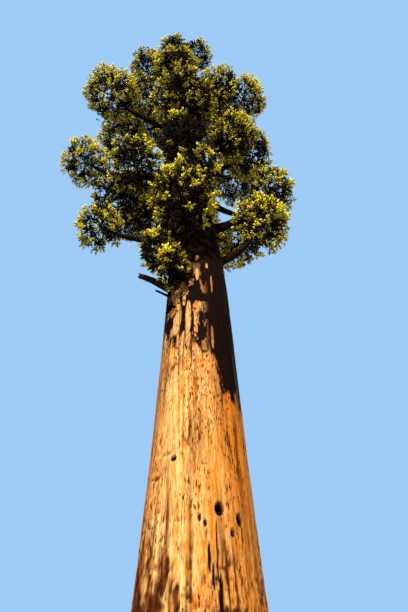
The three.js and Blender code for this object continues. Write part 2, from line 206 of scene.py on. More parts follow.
def seeded(seed):
    """Random numbers from 0 to 1, the same row of them for the same seed."""
    state = seed & WORD

    def draw():
        nonlocal state
        state = (state + SEED_STEP) & WORD
        mixed = ((state ^ (state >> 15)) * (1 | state)) & WORD
        mixed = (mixed + (((mixed ^ (mixed >> 7)) * (61 | mixed)) & WORD)) & WORD ^ mixed
        return ((mixed ^ (mixed >> 14)) & WORD) / (WORD + 1)

    return draw


def lerp(low, high, share):
    return low + (high - low) * share


def smoothstep(low, high, x):
    share = np.clip((np.asarray(x, float) - low) / (high - low), 0, 1)
    return share * share * (3 - 2 * share)


def unit(vectors):
    vectors = np.asarray(vectors, float)
    return vectors / np.maximum(np.linalg.norm(vectors, axis=-1, keepdims=True), 1e-9)


def streaks(turn, height, cells, cell_height, seed):
    """Smooth noise from 0 to 1 round a limb: turn runs once round from 0 to 1, height is in metres."""
    u = np.asarray(turn, float) % 1.0 * cells
    v = np.maximum(np.asarray(height, float) / cell_height, 0)
    rows = int(TREE_HEIGHT / cell_height) + 2
    table = np.random.default_rng(seed).random((cells, rows))
    left, low = np.floor(u).astype(int) % cells, np.floor(v).astype(int)
    right, high = (left + 1) % cells, low + 1
    across, along = smoothstep(0, 1, u - np.floor(u)), smoothstep(0, 1, v - low)
    bottom = lerp(table[left, low], table[right, low], across)
    top = lerp(table[left, high], table[right, high], across)
    return lerp(bottom, top, along)


# The limbs' middle lines, by the same rule as the solids


def trunk_axis(z):
    z = np.asarray(z, float)
    share = smoothstep(BEND_START, BEND_END, z)
    return np.stack([TOP_OFFSET[0] * share, TOP_OFFSET[1] * share, z], -1)


def trunk_radius(z, angle):
    z = np.asarray(z, float)
    taper = np.clip(1 - np.clip(z / TREE_HEIGHT, 0, 1) ** SHAFT_FULLNESS, 0, 1)
    shaft = SHAFT_RADIUS * taper**TIP_ROUNDNESS
    butt = BUTT_SWELL * np.exp(-z / BUTT_SWELL_HEIGHT)
    flare = ROOT_FLARE * np.exp(-z / ROOT_FLARE_HEIGHT)
    return shaft + butt + flare * (1 + BUTTRESS_DEPTH * np.cos(BUTTRESSES * angle))


def curve_points(curve, shares):
    start, elbow, end = (np.asarray(point, float) for point in curve)
    t = np.asarray(shares, float)[:, None]
    return start * (1 - t) ** 2 + 2 * elbow * t * (1 - t) + end * t**2


def curve_length(curve):
    points = curve_points(curve, np.linspace(0, 1, LENGTH_POINTS))
    return np.linalg.norm(np.diff(points, axis=0), axis=1).sum()


def ellipsoid_reach(mass, directions):
    directions = np.asarray(directions, float)
    across = np.hypot(directions[..., 0], directions[..., 1]) / mass.wide
    return 1 / np.hypot(across, directions[..., 2] / mass.tall)


def bough_curve(mass):
    """Out of the trunk, flat at first, then up to its mass from below."""
    start = trunk_axis(mass.leaves)
    centre = np.array(mass.at)
    elbow = lerp(start, centre, BOUGH_OUT_SHARE)
    elbow[2] = lerp(start[2], centre[2], BOUGH_RISE_SHARE)
    if mass.elbow:
        elbow = np.array(mass.elbow)
    arrival = unit(centre - elbow)
    end = centre - arrival * BOUGH_ENTRY * ellipsoid_reach(mass, arrival)
    return start, elbow, end


def dead_curve(limb):
    start = trunk_axis(limb.leaves)
    end = np.array(limb.end)
    elbow = lerp(start, end, BOUGH_OUT_SHARE)
    elbow[2] += limb.lift
    return start, elbow, end


def limb_radii(curve, root, tip, shares):
    shares = np.asarray(shares, float)
    collar = root * BOUGH_COLLAR * np.exp(-shares * curve_length(curve) / BOUGH_COLLAR_LENGTH)
    return lerp(root, tip, shares) + collar


@lru_cache(maxsize=1)
def limb_sections():
    """The boughs' straight sections: both ends and the radius at each."""
    shares = np.linspace(0, 1, BOUGH_RINGS + 1)
    sections = []
    for mass in MASSES:
        if not mass.leaves:
            continue
        curve = bough_curve(mass)
        points = curve_points(curve, shares)
        radii = limb_radii(curve, mass.root, mass.root * BOUGH_TIP_SHARE, shares)
        sections += list(zip(points[:-1], points[1:], radii[:-1], radii[1:]))
    return sections


def limb_distance(points):
    """How far each point is from the nearest limb's surface, less than nothing inside it."""
    nearest = np.linalg.norm(points - trunk_axis(points[:, 2]), axis=1) - trunk_radius(points[:, 2], 0)
    for start, end, root, tip in limb_sections():
        line = end - start
        share = np.clip((points - start) @ line / (line @ line), 0, 1)
        gap = np.linalg.norm(points - start - share[:, None] * line, axis=1)
        nearest = np.minimum(nearest, gap - lerp(root, tip, share))
    return nearest


# The room of each mass, and the twigs that fill it


class Space:
    """The room that one mass may fill: its ellipsoid, cut by flat walls halfway to its neighbours."""

    def __init__(self, mass):
        self.mass = mass
        self.centre = np.array(mass.at)
        normals, distances = [UP], [CROWN_TOP - self.centre[2]]
        for other in MASSES:
            if other is mass:
                continue
            away = np.array(other.at) - self.centre
            normal = unit(away)
            own = ellipsoid_reach(mass, normal)
            share = own / (own + ellipsoid_reach(other, normal))
            normals.append(normal)
            distances.append(np.linalg.norm(away) * share - MASS_SPACING / 2)
        self.normals, self.distances = np.array(normals), np.array(distances)

    def reach(self, directions):
        """How far twigs may grow along each direction: to the ellipsoid, a wall or a limb."""
        directions = np.atleast_2d(directions)
        towards = directions @ self.normals.T
        walls = np.where(towards > 1e-6, self.distances / np.maximum(towards, 1e-6), np.inf).min(1)
        reach = np.minimum(ellipsoid_reach(self.mass, directions), walls)
        clear, found = np.ones(len(reach), bool), reach.copy()
        for step in range(FIRST_PROBE, PROBE_STEPS + 1):
            probes = self.centre + directions * (reach * step / PROBE_STEPS)[:, None]
            blocked = clear & (limb_distance(probes) < LIMB_CLEARANCE)
            found[blocked] = reach[blocked] * (step - 1) / PROBE_STEPS
            clear &= ~blocked
        return found

    def free(self, points, margin=0.0, overhang=0.0):
        """Whether each point keeps inside the walls and the ellipsoid, and clear of every limb."""
        offsets = points - self.centre
        walled = (offsets @ self.normals.T > self.distances - margin).any(1)
        inside = np.linalg.norm(offsets, axis=1) < ellipsoid_reach(self.mass, unit(offsets)) + overhang
        return ~walled & inside & (limb_distance(points) > LIMB_CLEARANCE)


def side_of(direction, roll):
    """A direction square to another, turned about it by a roll."""
    side = np.cross(direction, UP)
    side = unit(side) if side @ side > 1e-4 else np.array([1.0, 0.0, 0.0])
    return side * math.cos(roll) + np.cross(direction, side) * math.sin(roll)


def spiral(count, twig, height_shift, around):
    """One of a count of directions that wind down from straight up to straight down."""
    height = 1 - 2 * (twig + 0.5) / count + height_shift
    ring = math.sqrt(max(0, 1 - height * height))
    return unit([ring * math.cos(around), ring * math.sin(around), height])


def stem_of(mass):
    """From the bough's tip, or out of the trunk, to the middle of the mass."""
    centre = np.array(mass.at)
    if mass.leaves:
        return bough_curve(mass)[2], centre
    return trunk_axis(min(centre[2], TRUNK_TIP) - mass.tall / 2), centre


def main_twigs(space, random):
    """The same few twigs and forks that the solid has, each as a start and an end. The draws that
    go unused here are the ones that shape the rest of the solid.
    """
    mass = space.mass
    for _ in range(CORE_CORNERS):
        random()
    count = max(FEWEST_TWIGS, round(TWIGS_PER_METRE * (mass.wide + mass.tall)))
    level = count // 2
    away = space.centre - trunk_axis(space.centre[2])
    away_angle = math.atan2(away[1], away[0])
    twigs = []
    for twig in range(count):
        shift = lerp(-HEIGHT_JITTER, HEIGHT_JITTER, random())
        sway = lerp(-TURN_JITTER, TURN_JITTER, random())
        around = away_angle + (twig - level) * GOLDEN_ANGLE + (0 if twig == level else sway)
        direction = spiral(count, twig, shift if twig else abs(shift), around)
        random()
        lean = random() * 2 * math.pi
        reach = space.reach(direction)[0] * lerp(*TWIG_REACH, random())
        if reach < SHORTEST_REACH * ellipsoid_reach(mass, direction):
            continue
        twigs.append((space.centre, space.centre + direction * reach))
        if twig == 0:
            continue
        aside = unit(direction + side_of(direction, lean) * FORK_LEAN)
        fork = space.centre + direction * FORK_START * reach
        tip = fork + aside * FORK_LENGTH * reach
        if space.free(tip[None])[0]:
            twigs.append((fork, tip))
    return twigs


@dataclass
class Crown:
    """What the rule grows: branches, twigs and stalks as paths with radii, and the sprays."""

    branches: list
    twigs: list
    stalks: list
    sprays: list


@dataclass
class Spray:
    """A spray of scale leaves on its stalk, and the draws that make it differ from the rest."""

    mass: Mass
    base: np.ndarray
    tip: np.ndarray
    aim: np.ndarray
    tone: float
    roll: float
    size: float
    pick: float
    depth: float = 0.0


# How the finer twigs and their sprays fill a mass
CLUMPS_PER_SQUARE_METRE = 6.6
FEWEST_CLUMPS = 8
INNER_SHARE = 0.42
OUTER_BAND = (0.88, 1.05)
INNER_BAND = (0.5, 0.76)
LOBE_SPACING = 1.05
FEWEST_LOBES = 6
LOBE_EDGE = (0.45, 1.05)
LOBE_VALLEY = 0.76
OPEN_VALLEY = 0.6
VALLEY_SHARE = 0.6
SPRAYS_PER_CLUMP = 4
CLUMP_RADIUS = 0.12
CLUMP_LEAN = (1.15, 0.2)
CLUMP_START = 0.55
LEAN_SPREAD, RADIUS_SPREAD = (0.8, 1.2), (0.7, 1.1)
OUTWARD_PULL = 0.6
UPWARD_PULL = 0.35
OWN_TONE = 0.6
SPRAY_OVERHANG = 0.05
WALL_MARGIN = 0.06
TOP_MARGIN = 0.2
TOP_DEPTH = 1.12
SIDE_MARGIN = 0.1
SLIM_MASS = 0.8
SLIM_MARGIN = 0.08

# Twigs: how far each kind sags for its length, its radii, and how many points its path has
TWIG_ELBOW = 0.55
STEM_SAG, TWIG_SAG, FINE_TWIG_SAG = 0.03, 0.08, 0.12
STEM_RADIUS, STEM_END_RADIUS = 0.09, 0.05
TWIG_RADII = (0.045, 0.014)
FINE_TWIG_RADII = (0.014, 0.006)
STALK_RADII = (0.006, 0.0)
BRANCH_POINTS, FINE_TWIG_POINTS = 5, 4

# A finer twig leaves the main twigs nearby, from further in than it ends
FURTHEST_HUB = 0.9
TOO_FAR_OUT = 9.0
INWARD_PULL = 0.2


def bent_path(start, end, sag, count):
    """A twig's line: out along its parent, then turned up to its end."""
    middle = lerp(start, end, TWIG_ELBOW) - UP * sag * np.linalg.norm(end - start)
    return curve_points((start, middle, end), np.linspace(0, 1, count))


def lobes_of(surface, random):
    """A mass's lobes: the directions of their middles, and a tone for each."""
    count = max(FEWEST_LOBES, round(surface / LOBE_SPACING**2))
    middles = [
        spiral(count, lobe, lerp(-1, 1, random()) / count, lobe * GOLDEN_ANGLE + random())
        for lobe in range(count)
    ]
    return np.array(middles), np.array([random() for _ in range(count)])


def clump_targets(space, random):
    """Where the finer twigs end, with their lobe's tone: further out and closer together on the lobes."""
    mass = space.mass
    surface = 4 * math.pi * (mass.wide * mass.wide * mass.tall) ** (2 / 3)
    middles, tones = lobes_of(surface, random)
    lobe_size = 2 / math.sqrt(len(middles))
    valley = LOBE_VALLEY if mass.crowding >= 1 else OPEN_VALLEY
    targets = []
    for band, density in ((OUTER_BAND, 1.0), (INNER_BAND, INNER_SHARE)):
        count = max(FEWEST_CLUMPS, round(CLUMPS_PER_SQUARE_METRE * density * mass.crowding * surface))
        directions, draws = [], []
        for turn in range(count):
            shift = lerp(-1, 1, random()) / count
            around = turn * GOLDEN_ANGLE + lerp(-TURN_JITTER, TURN_JITTER, random())
            directions.append(spiral(count, turn, shift, around))
            draws.append((random(), random()))
        directions = np.array(directions)
        reach = space.reach(directions)
        nearness = directions @ middles.T
        apart = np.arccos(np.clip(nearness.max(1), -1, 1)) / lobe_size
        rise = 1 - smoothstep(*LOBE_EDGE, apart) if band is OUTER_BAND else np.ones(count)
        kept = (reach / ellipsoid_reach(mass, directions)) ** 2 * lerp(VALLEY_SHARE, 1, rise)
        ends = reach * lerp(valley, 1, rise)
        for turn, lobe in enumerate(nearness.argmax(1)):
            keep, depth = draws[turn]
            if keep < kept[turn]:
                target = space.centre + directions[turn] * ends[turn] * lerp(*band, depth)
                targets.append((target, tones[lobe]))
    return targets


def nearest_hub(hubs, target, centre):
    """The place on the main twigs that the twig to a target leaves from."""
    away = np.linalg.norm(hubs - target, axis=1)
    inner = np.linalg.norm(hubs - centre, axis=1)
    outside = inner > FURTHEST_HUB * np.linalg.norm(target - centre)
    return hubs[np.argmin(away + np.where(outside, TOO_FAR_OUT, 0.0) + INWARD_PULL * inner)]


def clump_of_sprays(mass, path, outward, lobe_tone, random):
    """The sprays round the end of one fine twig, the last of them straight on."""
    heading = unit(unit(path[-1] - path[-2]) + OUTWARD_PULL * outward + UPWARD_PULL * UP)
    tone, turned = lerp(lobe_tone, random(), OWN_TONE), random() * 2 * math.pi
    sprays = []
    for spray in range(SPRAYS_PER_CLUMP):
        share = spray / (SPRAYS_PER_CLUMP - 1)
        lean = lerp(*CLUMP_LEAN, share) * lerp(*LEAN_SPREAD, random())
        base = lerp(path[-2], path[-1], lerp(CLUMP_START, 1.0, share))
        aside = side_of(heading, turned + spray * GOLDEN_ANGLE)
        aim = heading * math.cos(lean) + aside * math.sin(lean)
        tip = base + aim * CLUMP_RADIUS * lerp(*RADIUS_SPREAD, random())
        sprays.append(Spray(mass, base, tip, aim, tone, random(), random(), random()))
    return sprays


def sprays_that_fit(space, sprays):
    """The sprays that keep to their mass and to the solids' box, each with how far out in its mass it is."""
    mass = space.mass
    tips = np.array([spray.tip for spray in sprays])
    below_top = CROWN_TOP - TOP_MARGIN - tips[:, 2]
    overhang = -SLIM_MARGIN if mass.wide < SLIM_MASS else SPRAY_OVERHANG
    fits = space.free(tips, WALL_MARGIN, overhang) & (below_top > 0)
    fits &= (np.abs(tips - BOX_MIDDLE) < BOX_HALF + SIDE_MARGIN).all(1)
    offsets = tips - space.centre
    depths = np.linalg.norm(offsets, axis=1) / ellipsoid_reach(mass, unit(offsets))
    # Near the crown's top a spray counts as further out, so it is painted lighter: painted light from above
    depths = np.maximum(depths, TOP_DEPTH - below_top / mass.tall)
    for spray, depth in zip(sprays, depths):
        spray.depth = depth
    return [spray for spray, fit in zip(sprays, fits) if fit]


def grow_mass(crown, index, mass):
    """The stem and main twigs of one mass, the finer twigs on them, and the sprays on those."""
    space = Space(mass)
    random = seeded(index + 1)
    stem = bent_path(*stem_of(mass), STEM_SAG, BRANCH_POINTS)
    stem_radius = mass.root * BOUGH_TIP_SHARE if mass.leaves else STEM_RADIUS
    crown.branches.append((stem, (stem_radius, STEM_END_RADIUS)))
    hubs = list(stem[2:])
    for start, end in main_twigs(space, random):
        path = bent_path(start, end, TWIG_SAG, BRANCH_POINTS)
        crown.branches.append((path, TWIG_RADII))
        hubs += list(path[1:-1])
    hubs = np.array(hubs)
    sprays = []
    for target, lobe_tone in clump_targets(space, random):
        start = nearest_hub(hubs, target, space.centre)
        path = bent_path(start, target, FINE_TWIG_SAG, FINE_TWIG_POINTS)
        crown.twigs.append((path, FINE_TWIG_RADII))
        sprays += clump_of_sprays(mass, path, unit(target - space.centre), lobe_tone, random)
    for spray in sprays_that_fit(space, sprays):
        crown.stalks.append((np.array([spray.base, spray.tip]), STALK_RADII))
        crown.sprays.append(spray)


@lru_cache(maxsize=1)
def crown():
    grown = Crown([], [], [], [])
    for index, mass in enumerate(MASSES):
        grow_mass(grown, index, mass)
    return grown


# Meshes


def mesh_from(name, points, faces, smooth=False):
    """A mesh from an array of points and arrays of faces, one array for each number of corners."""
    mesh = bpy.data.meshes.new(name)
    faces = [np.asarray(each, np.int32) for each in faces]
    loops = np.concatenate([each.ravel() for each in faces])
    corners = np.concatenate([np.full(len(each), each.shape[1]) for each in faces])
    starts = np.cumsum(corners) - corners
    mesh.vertices.add(len(points))
    mesh.vertices.foreach_set("co", np.asarray(points, np.float32).ravel())
    mesh.loops.add(len(loops))
    mesh.loops.foreach_set("vertex_index", loops)
    mesh.polygons.add(len(starts))
    mesh.polygons.foreach_set("loop_start", starts.astype(np.int32))
    mesh.update(calc_edges=True)
    if smooth:
        mesh.polygons.foreach_set("use_smooth", corners == QUAD)
    mesh.validate()
    return mesh


def put_attribute(mesh, name, values):
    values = np.asarray(values, np.float32)
    kind, key = ("FLOAT", "value") if values.ndim == 1 else ("FLOAT_VECTOR", "vector")
    mesh.attributes.new(name, kind, "POINT").data.foreach_set(key, values.ravel())


def add_object(name, data):
    thing = bpy.data.objects.new(name, data)
    bpy.context.scene.collection.objects.link(thing)
    return thing


def add_piece(name, mesh, finish, nodes):
    """A finished piece: its material, the body it rides on, and the solids it stands for."""
    piece = add_object(name, mesh)
    mesh.materials.clear()
    mesh.materials.append(finish)
    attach(piece, "root")
    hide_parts(*nodes)


def level_side(directions, least):
    """A level direction square to each direction, or +X where that is nearly upright."""
    side = np.cross(directions, UP)
    side[np.linalg.norm(side, axis=1) < least] = (1.0, 0.0, 0.0)
    return side


def following(sides):
    """For each corner of a ring, the number of the next one round."""
    return (np.arange(sides) + 1) % sides


def ring_faces(rings, sides):
    """Quads between rings that turn anticlockwise about the way from the first to the last."""
    first = np.arange(rings - 1)[:, None] * sides
    low, beside = first + np.arange(sides), first + following(sides)
    return np.stack([low, beside, beside + sides, low + sides], -1).reshape(-1, QUAD)


def joined_tubes(paths, radii, sides):
    """Many tapering twigs with as many points each, every one closed at its root and its tip."""
    count, length = paths.shape[:2]
    ahead = unit(np.gradient(paths, axis=1))
    side = level_side(unit(paths[:, -1] - paths[:, 0]), 1e-2)
    side = side[:, None, :] - (side[:, None, :] * ahead).sum(-1, keepdims=True) * ahead
    side = unit(side)
    across = np.cross(ahead, side)
    turn = np.arange(sides) * 2 * math.pi / sides
    radius = lerp(radii[:, :1], radii[:, 1:], np.linspace(0, 1, length))[..., None, None]
    outward = side[:, :, None] * np.cos(turn)[:, None] + across[:, :, None] * np.sin(turn)[:, None]
    rings = (paths[:, :, None] + radius * outward)[:, :-1].reshape(count, -1, 3)
    points = np.concatenate([rings, paths[:, -1:]], 1)
    each = points.shape[1]
    last = (length - 2) * sides
    tips = np.stack([last + np.arange(sides), last + following(sides), np.full(sides, each - 1)], -1)
    roots = np.array([[0, corner + 1, corner] for corner in range(1, sides - 1)])
    shift = (np.arange(count) * each)[:, None, None]
    quads = (ring_faces(length - 1, sides)[None] + shift).reshape(-1, QUAD)
    triangles = (np.concatenate([tips, roots])[None] + shift).reshape(-1, TRIANGLE)
    return points.reshape(-1, 3), [quads, triangles]


def angles_round(rings, sides):
    """The angle of every corner in a stack of rings."""
    return np.arange(sides)[None, :] * 2 * math.pi / sides * np.ones((rings, 1))


# A cleft runs where the noise crosses its middle, and the slope beside it keeps its width even
CLEFT_STEP, STEPS_PER_CELL = 0.1, 10
LEAST_SLOPE = 0.12


def furrows(turn, height, cells, cell_height, width, seed):
    """Narrow upright clefts that part and meet again, 1 in a cleft and 0 on the ridges between."""
    noise = streaks(turn, height, cells, cell_height, seed)
    beside = streaks(turn + CLEFT_STEP / cells, height, cells, cell_height, seed)
    slope = np.abs(beside - noise) * STEPS_PER_CELL
    return np.exp(-((np.abs(noise - 0.5) / (width * (slope + LEAST_SLOPE))) ** 2))


# The trunk's bark


@dataclass(frozen=True)
class Mark:
    """A mark on the trunk: height, angle, half height and half width, how deep it is and how strong."""

    height: float
    angle: float
    tall: float
    wide: float
    depth: float
    dark: float


# Branch holes, knots, long splits and level cracks, painted dark inside as painted shade
KNOTS = (
    Mark(4.06, -69, 0.11, 0.09, 0.16, 1.0),
    Mark(3.93, -47, 0.10, 0.08, 0.1, 1.0),
    Mark(3.68, -45, 0.18, 0.022, 0.04, 0.9),
    Mark(3.65, -57, 0.06, 0.055, 0.08, 1.0),
    Mark(5.17, -116, 0.055, 0.075, 0.05, 1.0),
    Mark(5.33, -127, 0.045, 0.14, 0.045, 0.27),
    Mark(3.88, -88, 0.07, 0.03, 0.04, 0.95),
    Mark(3.78, -83, 0.06, 0.035, 0.04, 0.9),
    Mark(3.86, -108, 0.035, 0.1, 0.035, 0.25),
    Mark(3.3, -73, 0.5, 0.02, 0.04, 0.95),
    Mark(2.5, -71, 0.42, 0.04, 0.06, 1.0),
    Mark(3.2, -80, 0.24, 0.028, 0.035, 0.85),
    Mark(2.9, -77, 0.2, 0.024, 0.03, 0.9),
    Mark(4.84, -140, 0.045, 0.13, 0.055, 0.3),
    Mark(7.16, -44, 0.025, 0.2, 0.05, 0.8),
    Mark(10.4, -108, 0.035, 0.36, 0.06, 0.9),
    Mark(6.3, 85, 0.12, 0.09, 0.14, 1.0),
    Mark(3.4, 140, 0.4, 0.03, 0.05, 0.9),
    Mark(8.2, 20, 0.07, 0.06, 0.08, 0.9),
)

# Darker patches near the foot, near black in places
DARK_FOOT_PATCHES = (
    Mark(3.15, -137, 0.4, 0.13, 0.0, 0.75),
    Mark(2.95, -120, 0.4, 0.13, 0.0, 0.72),
    Mark(2.45, -129, 0.5, 0.25, 0.0, 0.8),
    Mark(2.55, -107, 0.3, 0.1, 0.0, 0.62),
    Mark(2.2, -155, 1.5, 0.35, 0.0, 0.9),
    Mark(2.3, -60, 0.2, 0.5, 0.0, 0.5),
    Mark(1.2, -60, 0.7, 0.5, 0.0, 0.8),
    Mark(1.0, 60, 1.2, 0.6, 0.0, 0.9),
    Mark(1.5, 160, 1.0, 0.5, 0.0, 0.8),
)

# Patches left out of the painted shadow under the crown: painted sunlight, and the highest one a pale
# dead-wood patch
UNSHADED_PATCHES = (
    Mark(12.6, -87, 0.16, 0.06, 0.0, 1.0),
    Mark(11.65, -88, 0.34, 0.055, 0.0, 1.0),
    Mark(12.2, -69, 0.14, 0.04, 0.0, 0.9),
    Mark(11.3, -62, 0.4, 0.035, 0.0, 0.9),
    Mark(11.3, -117, 0.45, 0.12, 0.0, 0.8),
    Mark(10.7, -128, 0.4, 0.14, 0.0, 0.8),
    Mark(9.6, -103, 0.75, 0.1, 0.0, 1.0),
    Mark(9.7, -122, 0.7, 0.16, 0.0, 0.9),
    Mark(8.9, -66, 0.5, 0.035, 0.0, 0.8),
    Mark(22.9, -142, 0.6, 0.1, 0.0, 1.0),
)

# Painted shadow of the crown on the bark: the angle round the trunk, and the height from which the bark is
# painted dark
SHADE_ANGLES = (-180, -148, -107, -85, -60, -24, 30, 90, 180)
SHADE_HEIGHTS = (9.2, 8.9, 8.3, 8.0, 7.4, 6.5, 7.0, 8.5, 9.2)
# The side the key light falls on: the fibres are painted paler towards it as a painted highlight, and the
# painted sunlight keeps to it
LIT_SIDE = -112
# How strong the painted shadow stays at the back of the trunk
BACK_SHADE = 0.6

# How soft the edges of each kind of mark are
HOLE_EDGE, KNOT_EDGE, DARK_PATCH_EDGE, UNSHADED_EDGE = 0.35, 0.4, 0.7, 0.5

# Noise round the trunk: cells round it, height of a cell, seed
BARK_NOISE = {
    "sway": (9, 2.5, 11),
    "fine_sway": (40, 0.7, 12),
    "flutes": (15, 8.0, 21),
    "fine_flutes": (37, 4.0, 22),
    "strips": (94, 1.9, 23),
    "fibres": (220, 0.6, 24),
    "wear": (11, 1.4, 25),
    "checks": (210, 0.26, 27),
    "rags": (26, 0.8, 28),
    "fine_rags": (74, 0.4, 29),
    "finest_rags": (180, 0.12, 33),
    "sun_dapples": (34, 0.42, 30),
    "flakes": (110, 0.08, 31),
    "bleaching": (9, 3.0, 32),
    "mottling": (96, 0.2, 34),
    "fine_mottling": (210, 0.5, 35),
    "stains": (70, 0.4, 36),
    "fine_stains": (160, 0.12, 37),
}
SPLITS = (36, 3.6, 0.09, 26)
SWAY, FINE_SWAY, TWIST_PER_METRE = 0.012, 0.003, 0.0012

# How far each pattern stands out, as a share of the furrows' depth
RELIEF = {"flutes": 1.1, "strips": 0.42, "fibres": 0.16, "splits": -0.55, "checks": -0.4, "flakes": -0.5}
FULL_RELIEF_RADIUS = 1.3
LEAST_RELIEF, MOST_RELIEF = 0.3, 1.2

# Masks: the value from which each shows, the value at which it is full, and its strength
BARK_MASKS = {
    "foot": (4.6, 2.6, 1.0),
    "worn": (0.3, 0.75, 1.0),
    "checked": (0.76, 0.9, 1.0),
    "stained": (0.35, 0.85, 1.0),
    "between_strips": (0.05, 0.4, 0.5),
    "between_flutes": (0.1, 0.6, 0.4),
    "between_fibres": (0.1, 0.5, 0.3),
    "flaked": (0.55, 0.85, 0.5),
    "holed": (0.1, 0.5, 1.0),
    "split": (0.75, 1.0, 0.8),
    "darkened": (0.3, 0.62, 1.0),
    "speckled": (0.0, 0.85, 1.0),
    "blackest": (0.75, 1.1, 1.0),
    "behind": (-0.25, 0.3, 1.0),
    "sun_dappled": (0.5, 0.58, 1.0),
    "below_crown": (12.8, 10.5, 1.0),
    "facing_light": (0.72, 0.95, 1.0),
    "pale": (0.35, 0.5, 1.0),
    "bleached": (0.3, 0.98, 0.62),
}
# How near black the dark patches are, from their palest to their darkest
DARK_PATCH_BLACK = (0.16, 0.75)
# Where the painted shadow sets in and where it is full, at the front and at the back
SHADE_START, SHADE_FULL = (-0.2, -2.6), (0.35, 2.2)
LEAST_PALE_FIBRES = 0.16


def within_half_turn(angle):
    return (angle + math.pi) % (2 * math.pi) - math.pi


def masked(kind, values):
    start, full, strength = BARK_MASKS[kind]
    return strength * smoothstep(start, full, values)


def mark_field(marks, angle, z, radius, softness, power="dark"):
    """How strongly each place on the trunk is marked."""
    total = np.zeros_like(angle)
    for mark in marks:
        apart = within_half_turn(angle - math.radians(mark.angle))
        away = np.hypot(apart * radius / mark.wide, (z - mark.height) / mark.tall)
        total = np.maximum(total, getattr(mark, power) * (1 - smoothstep(1 - softness, 1 + softness, away)))
    return total


def bark_patterns(turn, z):
    """The bark's patterns: those that stand out or in, and those that only colour it."""

    def straight(kind):
        return streaks(turn, z, *BARK_NOISE[kind])

    def swayed(kind):
        return streaks(spun, z, *BARK_NOISE[kind])

    sway = SWAY * (straight("sway") - 0.5) + FINE_SWAY * (straight("fine_sway") - 0.5)
    spun = turn + sway + TWIST_PER_METRE * z
    worn = masked("worn", straight("wear"))
    foot = masked("foot", z)
    return {
        "flutes": swayed("flutes") + 0.5 * swayed("fine_flutes") - 0.75,
        "strips": swayed("strips") - 0.5,
        "fibres": swayed("fibres") - 0.5,
        "splits": furrows(spun, z, *SPLITS) * worn,
        "checks": masked("checked", swayed("checks")) * (0.1 + 0.9 * worn),
        "flakes": straight("flakes") * foot,
        "stains": foot * masked("stained", swayed("stains")) * straight("fine_stains"),
        "rags": 0.8 * swayed("rags") + 0.6 * swayed("fine_rags") - 0.9 + 0.4 * swayed("finest_rags"),
        "mottling": straight("mottling") + 0.5 * swayed("fine_mottling"),
        "sun_dapples": swayed("sun_dapples"),
        "bleaching": straight("bleaching") - 0.5,
    }


def crown_shade(angle, z, radius, patterns, lit):
    """Painted shadow of the crown on the bark with a ragged edge, but for the patches of painted sunlight
    and the unshaded patches in it.
    """
    rags = patterns["rags"]
    edge = np.interp(np.degrees(within_half_turn(angle)), SHADE_ANGLES, SHADE_HEIGHTS)
    behind = masked("behind", np.sin(angle))
    shade = smoothstep(lerp(*SHADE_START, behind), lerp(*SHADE_FULL, behind), z - edge + 1.3 * rags)
    # Patches of painted sunlight on the lit side below the crown, and the unshaded patches, lift the painted
    # shadow
    sun_dapples = masked("sun_dappled", patterns["sun_dapples"] + 0.7 * rags) * masked("below_crown", z)
    pale = masked("pale", mark_field(UNSHADED_PATCHES, angle, z, radius, UNSHADED_EDGE) + 0.5 * rags)
    shade = shade * (1 - 0.95 * np.maximum(sun_dapples * masked("facing_light", lit), pale))
    return shade * lerp(1, BACK_SHADE, behind)


def bark_attributes(angle, z, radius, patterns):
    """What colours the bark: clefts, partly painted shade; near-black marks; the crown's painted shadow;
    pale fibres with a painted highlight on the lit side; and the way of the grain.
    """
    splits = patterns["splits"]
    # Clefts are painted darker in the valleys between strips, flutes and fibres and under the flakes, which
    # is painted shade in the recesses, and where the foot is stained
    valleys = masked("between_strips", -patterns["strips"]) + masked("between_flutes", -patterns["flutes"])
    broken = masked("between_fibres", -patterns["fibres"]) + masked("flaked", patterns["flakes"])
    cleft = np.clip(0.8 * splits + valleys + broken + 0.6 * patterns["stains"], 0, 1)
    # Holes, checks and splits are painted near black: painted shade in the recesses
    holes = masked("holed", mark_field(KNOTS, angle, z, radius, KNOT_EDGE))
    black = np.maximum(np.maximum(holes, 0.85 * patterns["checks"]), masked("split", splits))
    dark_patch = mark_field(DARK_FOOT_PATCHES, angle, z, radius, DARK_PATCH_EDGE) + 0.75 * patterns["rags"]
    dark_patch = masked("darkened", dark_patch) * masked("speckled", patterns["mottling"])
    near_black = dark_patch * lerp(*DARK_PATCH_BLACK, masked("blackest", patterns["mottling"]))
    # Fibres are paler towards the lit side, which is a painted highlight, and vary at random besides
    lit = np.cos(angle - math.radians(LIT_SIDE))
    bleached = LEAST_PALE_FIBRES + masked("bleached", lit) + 0.5 * patterns["bleaching"]
    return {
        "cleft": np.maximum(cleft, dark_patch),
        "char": np.maximum(black, near_black),
        "shade": crown_shade(angle, z, radius, patterns, lit),
        "bleached": np.clip(bleached, 0, 1),
        "grain": np.stack([np.cos(angle) * SHAFT_RADIUS, np.sin(angle) * SHAFT_RADIUS, z], -1),
    }


